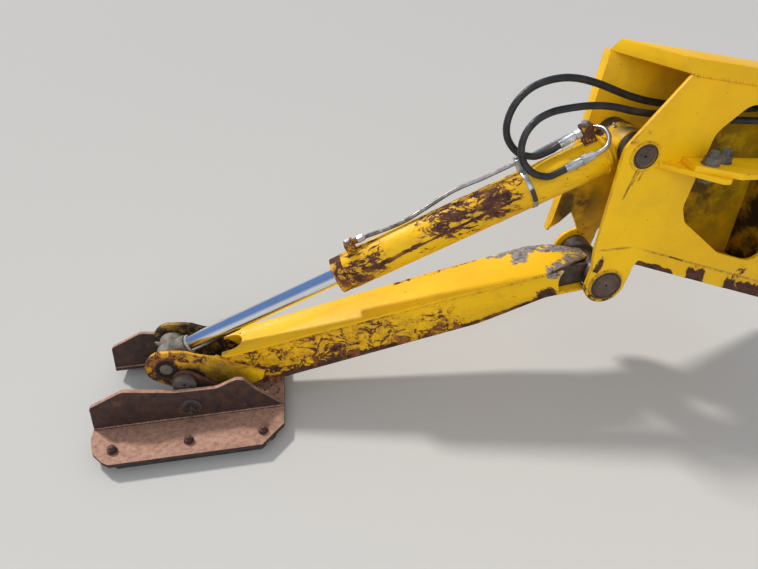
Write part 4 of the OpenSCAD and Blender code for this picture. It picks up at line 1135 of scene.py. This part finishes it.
# %% Bolts of the pad
PAD_BOLT_X = [PAD_PIN.x + offset for offset in (-201, 8, 217)]
PAD_BOLT_Y = 232
UP = (0, 0, 1)
DOWN = (0, 0, -1)
pad_parts = []
for x in PAD_BOLT_X:
    for y in (-PAD_BOLT_Y, PAD_BOLT_Y):
        pad_parts.append((round_bar(0.0145, 0.002), at(x, y, PAD_TOP), UP))
        pad_parts.append((nut_profile(0.0130, 0.0110), at(x, y, PAD_TOP + 2), UP))
        pad_parts.append((thread_profile(0.008, 0.0085, 0.0018), at(x, y, PAD_TOP + 12), UP))
        pad_parts.append((round_bar(0.008, 0.050), at(x, y, 8), UP))
        pad_parts.append((nut_profile(0.014, 0.010), at(x, y, 16), DOWN))
turned_piece("pad_nuts_and_bolts", pad_parts, "pad", pin_steel, ["pad_bolts"])

# %% [markdown]
# ## Fittings of the cylinder
#
# A hose ends in a steel sleeve that eight jaws have pressed on, so it has narrow ridges. Nuts join the steel
# tube, a rubber lip wipes the rod, and grease nipples stand on both eyes. Each could be modelled by itself,
# but they are all turned parts, so one more profile for each is enough.


# %% Crimped ferrules
def crimp(angle):
    """Radius of a crimped sleeve: eight jaws press it in and leave narrow ridges between them."""
    return 0.0112 + 0.0011 * abs(math.sin(4 * angle)) ** 8


FERRULE = [(0.0, 0.0125)] + nut_profile(0.014, 0.015)[1:] + [
    (0.0152, 0.0105), (0.018, 0.0105), (0.0182, 0.012), (0.021, 0.012), (0.023, crimp), (0.053, crimp),
    (0.055, 0.0118), (0.061, 0.0118), (0.062, 0.0108)]
ferrules = []
for ferrule in (UPPER_FERRULE, LOWER_FERRULE):
    foot = on_cylinder(*ferrule[:3])
    ferrules.append((FERRULE, foot, ferrule_tip(*ferrule, 0) - foot))
turned_piece("crimped_ferrules", ferrules, "barrel", zinc, ["hose_ends"], 64)

# %% Nuts, wiper and clamp
CYLINDER_UP = on_cylinder(0, 0, 1) - on_cylinder(0, 0, 0)
CLAMP_AT = 1153
GLAND_FACE = 562
clamp_nut_foot = on_cylinder(CLAMP_AT, 15, 92)
clamp_nut_way = on_cylinder(CLAMP_AT, 15, 93) - clamp_nut_foot
tube_ends = [
    (nut_profile(0.0105, 0.017), on_cylinder(664, 10, 74), CYLINDER_WAY),
    ([(0.0, 0.0085), (0.006, 0.0068)], on_cylinder(681, 10, 72.6), CYLINDER_WAY),
    (nut_profile(0.0115, 0.018), on_cylinder(1330, -58, 42), -CYLINDER_WAY),
    (nut_profile(0.0070, 0.006), clamp_nut_foot, clamp_nut_way),
    (nut_profile(0.0100, 0.010), on_cylinder(1347, 2, 103), CYLINDER_UP),
    (nut_profile(0.0095, 0.009), on_cylinder(637, 2, 85), CYLINDER_UP)]
turned_piece("tube_nuts", tube_ends, "barrel", zinc)

WIPER = [(-0.003, 0.0262), (-0.003, 0.029), (0.0, 0.034), (0.004, 0.034)]
wiper = [(WIPER, on_cylinder(GLAND_FACE, 0, 0), CYLINDER_WAY)]
turned_piece("rod_wiper", wiper, "barrel", hose_rubber, sides=64)
COLLAR = [(0.0, 0.0262), (0.0, 0.0285), (0.007, 0.0285), (0.010, 0.0262)]
collar = [(COLLAR, on_cylinder(62, 0, 0), CYLINDER_WAY)]
turned_piece("rod_collar", collar, "rod", collar_steel, sides=64)

# The clamp's screw is this many degrees round from the top.
CLAMP_SCREW = 82
screw_foot = around_cylinder(CLAMP_AT, CLAMP_SCREW - 10, 61.5)
screw_way = around_cylinder(CLAMP_AT, CLAMP_SCREW + 10, 62) - around_cylinder(CLAMP_AT, CLAMP_SCREW - 10, 62)
screw = [
    (round_bar(0.0062, 0.024), screw_foot, screw_way),
    (nut_profile(0.0070, 0.006), around_cylinder(CLAMP_AT, CLAMP_SCREW + 12, 61), screw_way),
    (nut_profile(0.0070, 0.005), screw_foot, -screw_way)]
turned_piece("clamp_screw", screw, "barrel", dark_steel, sides=32)
# Each spanner hole is a dark disc on the gland's face: painted shade where a hole would be.
HOLE_SHADE_DISC = [(-0.0004, 0.0042), (0.002, 0.0042)]
spanner_hole_shade_discs = []
for angle in (20, 110, 200, 290):
    spanner_hole_shade_discs.append((HOLE_SHADE_DISC, around_cylinder(GLAND_FACE, angle, 43), CYLINDER_WAY))
turned_piece("spanner_hole_shade_discs", spanner_hole_shade_discs, "barrel", dark_steel, sides=20)

# %% Grease nipples
NIPPLE = nut_profile(0.0055, 0.005) + [
    (0.0052, 0.0030), (0.0085, 0.0028), (0.0095, 0.0020), (0.0115, 0.0032), (0.0135, 0.0020)]
# name: (body, pin, y in millimetres, way, how far out along it in metres)
NIPPLES = {
    "base_eye_grease_nipple": ("barrel", UPPER_PIN, 24, Vector((-0.55, 0.0, 0.835)), 0.047),
    "rod_eye_grease_nipple": ("rod", ROD_PIN, 20, Vector((-0.8, 0.0, 0.6)), 0.037)}
for title, (body, pin, y, way, out) in NIPPLES.items():
    foot = at(pin.x, y, pin.z) + way * out
    turned_piece(title, [(NIPPLE, foot, way)], body, zinc, sides=24)

# %% [markdown]
# ## Boss, nut and ends of the pins
#
# The near rib carries a nut on a short boss, dark and oily round its foot, and each pin's end is turned, with
# old grease round it. The materials could draw such rings, but a groove that is really there catches the
# light from every side. So these are thin turned parts too, laid on the rounded copies.

# %% Boss and nut on the near rib
RIB_FACE = -140
BOSS_AT = at(-1236, RIB_FACE, 87)
TOWARDS_VIEWER = Vector((0.0, -1.0, 0.0))
boss = [
    ([(0.0, 0.030), (0.004, 0.030), (0.006, 0.027)], BOSS_AT, TOWARDS_VIEWER),
    (round_bar(0.020, 0.009), BOSS_AT, TOWARDS_VIEWER)]
turned_piece("rib_boss", boss, "pad", dark_steel)
boss_nut = [
    (nut_profile(0.0175, 0.015), BOSS_AT + TOWARDS_VIEWER * 0.009, TOWARDS_VIEWER),
    (thread_profile(0.010, 0.010), BOSS_AT + TOWARDS_VIEWER * 0.0235, TOWARDS_VIEWER)]
turned_piece("rib_nut", boss_nut, "pad", dark_steel)
# Each hole in the rib is a thin dark disc on its face: painted shade where a hole would be.
rib_hole_shade_discs = []
for x in (-1440, -1090):
    rib_hole_shade_discs.append((round_bar(0.0085, 0.0006), at(x, RIB_FACE, 66), TOWARDS_VIEWER))
turned_piece("rib_hole_shade_discs", rib_hole_shade_discs, "pad", dark_steel, sides=24)


# %% Faces of the pins
def pin_face(r):
    """Profile of a pin's end, from its radius: a chamfer, a shallow groove and a centre mark."""
    return [(0.0, r - 0.001), (0.0008, r - 0.002), (0.0008, r * 0.80), (0.0002, r * 0.76), (0.0002, r * 0.70),
        (0.0010, r * 0.66), (0.0010, r * 0.16), (-0.0010, 0.0012)]


LEG_PIN_FACE = [(0.0, 0.0375), (0.0009, 0.036), (0.0009, 0.031), (0.0002, 0.0300), (0.0002, 0.0275),
    (0.0012, 0.0262), (0.0012, 0.005), (-0.0010, 0.0012)]


def both_ends(profile, pin, reach):
    """The same turned part at both ends of a pin, reach millimetres from the middle."""
    return [(profile, at(pin.x, side * reach, pin.z), Vector((0.0, side, 0.0))) for side in SIDES]


def dirt_ring(inner, outer):
    """Profile of a thin ring of caked grease."""
    return [(0.0, outer), (0.0004, outer - 0.0006), (0.0004, inner), (0.0, inner), (0.0, outer)]


upper_faces = both_ends(pin_face(0.0275), UPPER_PIN, 103)
rod_faces = both_ends(pin_face(0.0190), ROD_PIN, 78)
pad_faces = both_ends(pin_face(0.0350), PAD_PIN, 106)
grease = both_ends(dirt_ring(0.0282, 0.0338), UPPER_PIN, 104.05)
grease += both_ends(dirt_ring(0.0392, 0.0462), LEG_PIVOT, 124.05)
leg_faces = both_ends(LEG_PIN_FACE, LEG_PIVOT, 124)
turned_piece("upper_pin_faces", upper_faces, "frame", brown_pin_steel, sides=64)
turned_piece("rod_pin_faces", rod_faces, "leg", pin_end_steel, sides=64)
turned_piece("pad_pin_faces", pad_faces, "pad", pin_end_steel, sides=64)
turned_piece("frame_pin_grease", grease, "frame", dark_steel, sides=64)
turned_piece("leg_pin_faces", leg_faces, "frame", brown_pin_steel, sides=64)

# %% [markdown]
# ## Soil and crumbs
#
# Dirt lies where it can't fall off: on the pad between its ribs, along a rib's foot and on the end of the
# leg's box. A bumpy material would stay flat seen from the side. So a Geometry Nodes tree scatters small
# stones over a patch, with a fixed seed, and most of them are far smaller than the largest.

# %% Tree of crumbs
CRUMB_SETTINGS = [
    ("Patch", "NodeSocketGeometry"),
    ("Density", "NodeSocketFloat"),
    ("Largest", "NodeSocketFloat"),
    ("Seed", "NodeSocketInt"),
    ("Finish", "NodeSocketMaterial")]
FULL_TURN = 6.28
SMALLEST = 0.12
CRUMB_POWER = 2.5
crumb_nodes, crumb_in, crumb_out = node_tree("scattered crumbs", CRUMB_SETTINGS)
scatter = crumb_nodes.nodes.new("GeometryNodeDistributePointsOnFaces")
stone = crumb_nodes.nodes.new("GeometryNodeMeshIcoSphere")
stone.inputs["Radius"].default_value = 1.0
stone.inputs["Subdivisions"].default_value = 1
spin = crumb_nodes.nodes.new("FunctionNodeRandomValue")
spin.data_type = "FLOAT_VECTOR"
spin.inputs[SECOND].default_value = (FULL_TURN, FULL_TURN, FULL_TURN)
small = crumb_nodes.nodes.new("FunctionNodeRandomValue")
small.inputs[LEAST].default_value = SMALLEST
small.inputs[MOST].default_value = 1.0
mostly_small = crumb_nodes.nodes.new("ShaderNodeMath")
mostly_small.operation = "POWER"
mostly_small.inputs[SECOND].default_value = CRUMB_POWER
scaled = crumb_nodes.nodes.new("ShaderNodeMath")
scaled.operation = "MULTIPLY"
spread = crumb_nodes.nodes.new("GeometryNodeInstanceOnPoints")
solid = crumb_nodes.nodes.new("GeometryNodeRealizeInstances")
coat = crumb_nodes.nodes.new("GeometryNodeSetMaterial")
join(crumb_nodes, [
    (crumb_in, "Patch", scatter, "Mesh"),
    (crumb_in, "Density", scatter, "Density"),
    (crumb_in, "Seed", scatter, "Seed"),
    (scatter, "Points", spread, "Points"),
    (stone, "Mesh", spread, "Instance"),
    (spin, FIRST, spread, "Rotation"),
    (small, RANDOM_NUMBER, mostly_small, FIRST),
    (mostly_small, FIRST, scaled, FIRST),
    (crumb_in, "Largest", scaled, SECOND),
    (scaled, FIRST, spread, "Scale"),
    (spread, "Instances", solid, "Geometry"),
    (solid, "Geometry", coat, "Geometry"),
    (crumb_in, "Finish", coat, "Material"),
    (coat, "Geometry", crumb_out, FIRST)])
print("tree of crumbs has", len(crumb_nodes.nodes), "nodes")

# %% Scattered crumbs
DAMP_SOIL = (0.050, 0.030, 0.020)
DRY_SOIL = (0.160, 0.105, 0.070)
soil_network = Network("dry soil")
soil_tone = soil_network.ramp(soil_network.noise(60.0, 5.0), 0.35, 0.65)
soil_color = soil_network.blend(soil_tone, DAMP_SOIL, DRY_SOIL)
soil_grain = soil_network.bump(soil_network.noise(160.0, 6.0, 0.7), 0.0030, 0.9)
soil = soil_network.finish(soil_color, 0.95, 0.0, soil_grain)
# name: (body, stones per square metre, largest in metres, corners of the patch)
PATCHES = {
    "crumbs_between_ribs": ("pad", 5000.0, 0.0048,
        [(-1185, -122, 44), (-980, -122, 44), (-980, 122, 44), (-1185, 122, 44)]),
    "crumbs_on_flange": ("pad", 2600.0, 0.0026,
        [(-1500, -165, 43.5), (-1500, -142, 43.5), (-1000, -142, 43.5), (-1000, -165, 43.5)]),
    "crumbs_on_leg_end": ("leg", 9000.0, 0.0034,
        [(-1078, -48, 201), (-1078, 48, 201), (-1040, 48, 209), (-1040, -48, 209)])}
FIRST_SEED = 3
for seed, (title, (body, density, largest, corners)) in enumerate(PATCHES.items(), FIRST_SEED):
    patch_mesh = bpy.data.meshes.new(title)
    patch_mesh.from_pydata([at(*c) for c in corners], [], [(0, 1, 2, 3)])
    patch = into_scene(title, patch_mesh)
    made_by(crumb_nodes, patch, {"Density": density, "Largest": largest, "Seed": seed, "Finish": soil})
    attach(patch, body)

# %% [markdown]
# ## Floor, light and camera
#
# A studio lights a thing from one side and softens the shadows from the other. Here a sun with soft edges,
# from above and behind, is the key light, one wide lamp fills from in front, and the world does the rest.
# Chrome has nothing to mirror in such a plain room, so rays that a surface mirrors see a blue sky. The camera
# is about 1.3 m above the ground and looks down at the leg, as was fitted to the photo.

# %% Floor
FLOOR_SIDE = 20
FLOOR_BACK = 30
FLOOR_TONE = (0.50, 0.49, 0.475)
floor_corners = [(-FLOOR_SIDE, -FLOOR_SIDE, GROUND_Z), (FLOOR_SIDE, -FLOOR_SIDE, GROUND_Z),
    (FLOOR_SIDE, FLOOR_BACK, GROUND_Z), (-FLOOR_SIDE, FLOOR_BACK, GROUND_Z)]
floor_mesh = bpy.data.meshes.new("floor")
floor_mesh.from_pydata(floor_corners, [], [(0, 1, 2, 3)])
floor = into_scene("floor", floor_mesh)
floor_mesh.materials.append(Network("pale floor").finish(FLOOR_TONE, 0.9))
print("floor at", round(GROUND_Z, 3))

# %% Sun and fill
SUN_WAY = Vector((0.42, -0.52, -0.74))
FILL_PLACE = Vector((-1.8, -4.2, 2.2))
FILL_TARGET = Vector((-1.0, 0.0, -0.2))


def shine(light, way):
    """Turns a light to shine along the given way."""
    light.rotation_euler = way.to_track_quat("-Z", "Y").to_euler()
    print(light.name, "has power", round(light.data.energy, 2))


sun_data = bpy.data.lights.new("key", "SUN")
sun_data.energy = 2.6
sun_data.angle = math.radians(7)
sun_data.color = (1.0, 0.97, 0.92)
shine(into_scene("key", sun_data), SUN_WAY)
fill_data = bpy.data.lights.new("fill", "AREA")
fill_data.shape = "DISK"
fill_data.size = 4.0
fill_data.energy = 70.0
fill_data.color = (0.95, 0.97, 1.0)
fill = into_scene("fill", fill_data)
fill.location = FILL_PLACE
shine(fill, FILL_TARGET - FILL_PLACE)

# %% World
# Mirrored rays see a sky that is white at the horizon and blue overhead. All others see an even, faintly cool
# white. The sky's positions go from 0 at the horizon to 1 straight overhead.
EVEN_LIGHT = (0.93, 0.96, 1.0, 1.0)
world = bpy.data.worlds.new("studio")
bpy.context.scene.world = world
world.use_nodes = True
sky = world.node_tree.nodes["Background"]
sky.inputs["Strength"].default_value = 0.57
height = world.node_tree.nodes.new("ShaderNodeSeparateXYZ")
blue_overhead = world.node_tree.nodes.new("ShaderNodeValToRGB")
SKY_BLUE = (0.24, 0.42, 0.85, 1.0)
SKY_TONES = [
    (0.0, (1.0, 1.0, 1.0, 1.0)),
    (0.30, SKY_BLUE),
    (0.70, SKY_BLUE),
    (1.0, (0.85, 0.92, 1.0, 1.0))]
while len(blue_overhead.color_ramp.elements) < len(SKY_TONES):
    blue_overhead.color_ramp.elements.new(0.5)
for element, (position, tone) in zip(blue_overhead.color_ramp.elements, SKY_TONES):
    element.position = position
    element.color = tone
ray = world.node_tree.nodes.new("ShaderNodeLightPath")
seen = world.node_tree.nodes.new("ShaderNodeMix")
seen.data_type = "RGBA"
seen.inputs[MIX_A].default_value = EVEN_LIGHT
direction = world.node_tree.nodes.new("ShaderNodeTexCoord")
join(world.node_tree, [
    (direction, "Generated", height, FIRST),
    (height, "Z", blue_overhead, "Fac"),
    (ray, "Is Glossy Ray", seen, "Factor"),
    (blue_overhead, "Color", seen, MIX_B),
    (seen, MIX_RESULT, sky, "Color")])
print("world of", len(world.node_tree.nodes), "nodes")

# %% Camera
SENSOR_WIDTH = 36.0
FOCAL_PIXELS = 563.16
FRAME_WIDTH = 758
CAMERA_PLACE = at(-827.4, -1377.9, 1287.6)
PITCH = math.radians(34.0957)
ROLL = math.radians(-2.1977)
YAW = math.radians(-7.2028)
forward = Vector((-math.sin(YAW) * math.cos(PITCH), math.cos(YAW) * math.cos(PITCH), -math.sin(PITCH)))
level = Vector((math.cos(YAW), math.sin(YAW), 0.0))
upright = level.cross(forward)
right = level * math.cos(ROLL) + upright * math.sin(ROLL)
up = upright * math.cos(ROLL) - level * math.sin(ROLL)
camera_data = bpy.data.cameras.new("camera")
camera_data.sensor_width = SENSOR_WIDTH
camera_data.lens = SENSOR_WIDTH * FOCAL_PIXELS / FRAME_WIDTH
camera = into_scene("camera", camera_data)
turn = Matrix((right, up, -forward)).transposed().to_4x4()
camera.matrix_world = Matrix.Translation(CAMERA_PLACE) @ turn
bpy.context.scene.camera = camera
bpy.context.scene.view_settings.view_transform = "Standard"
print("camera at", [round(x, 3) for x in camera.location])
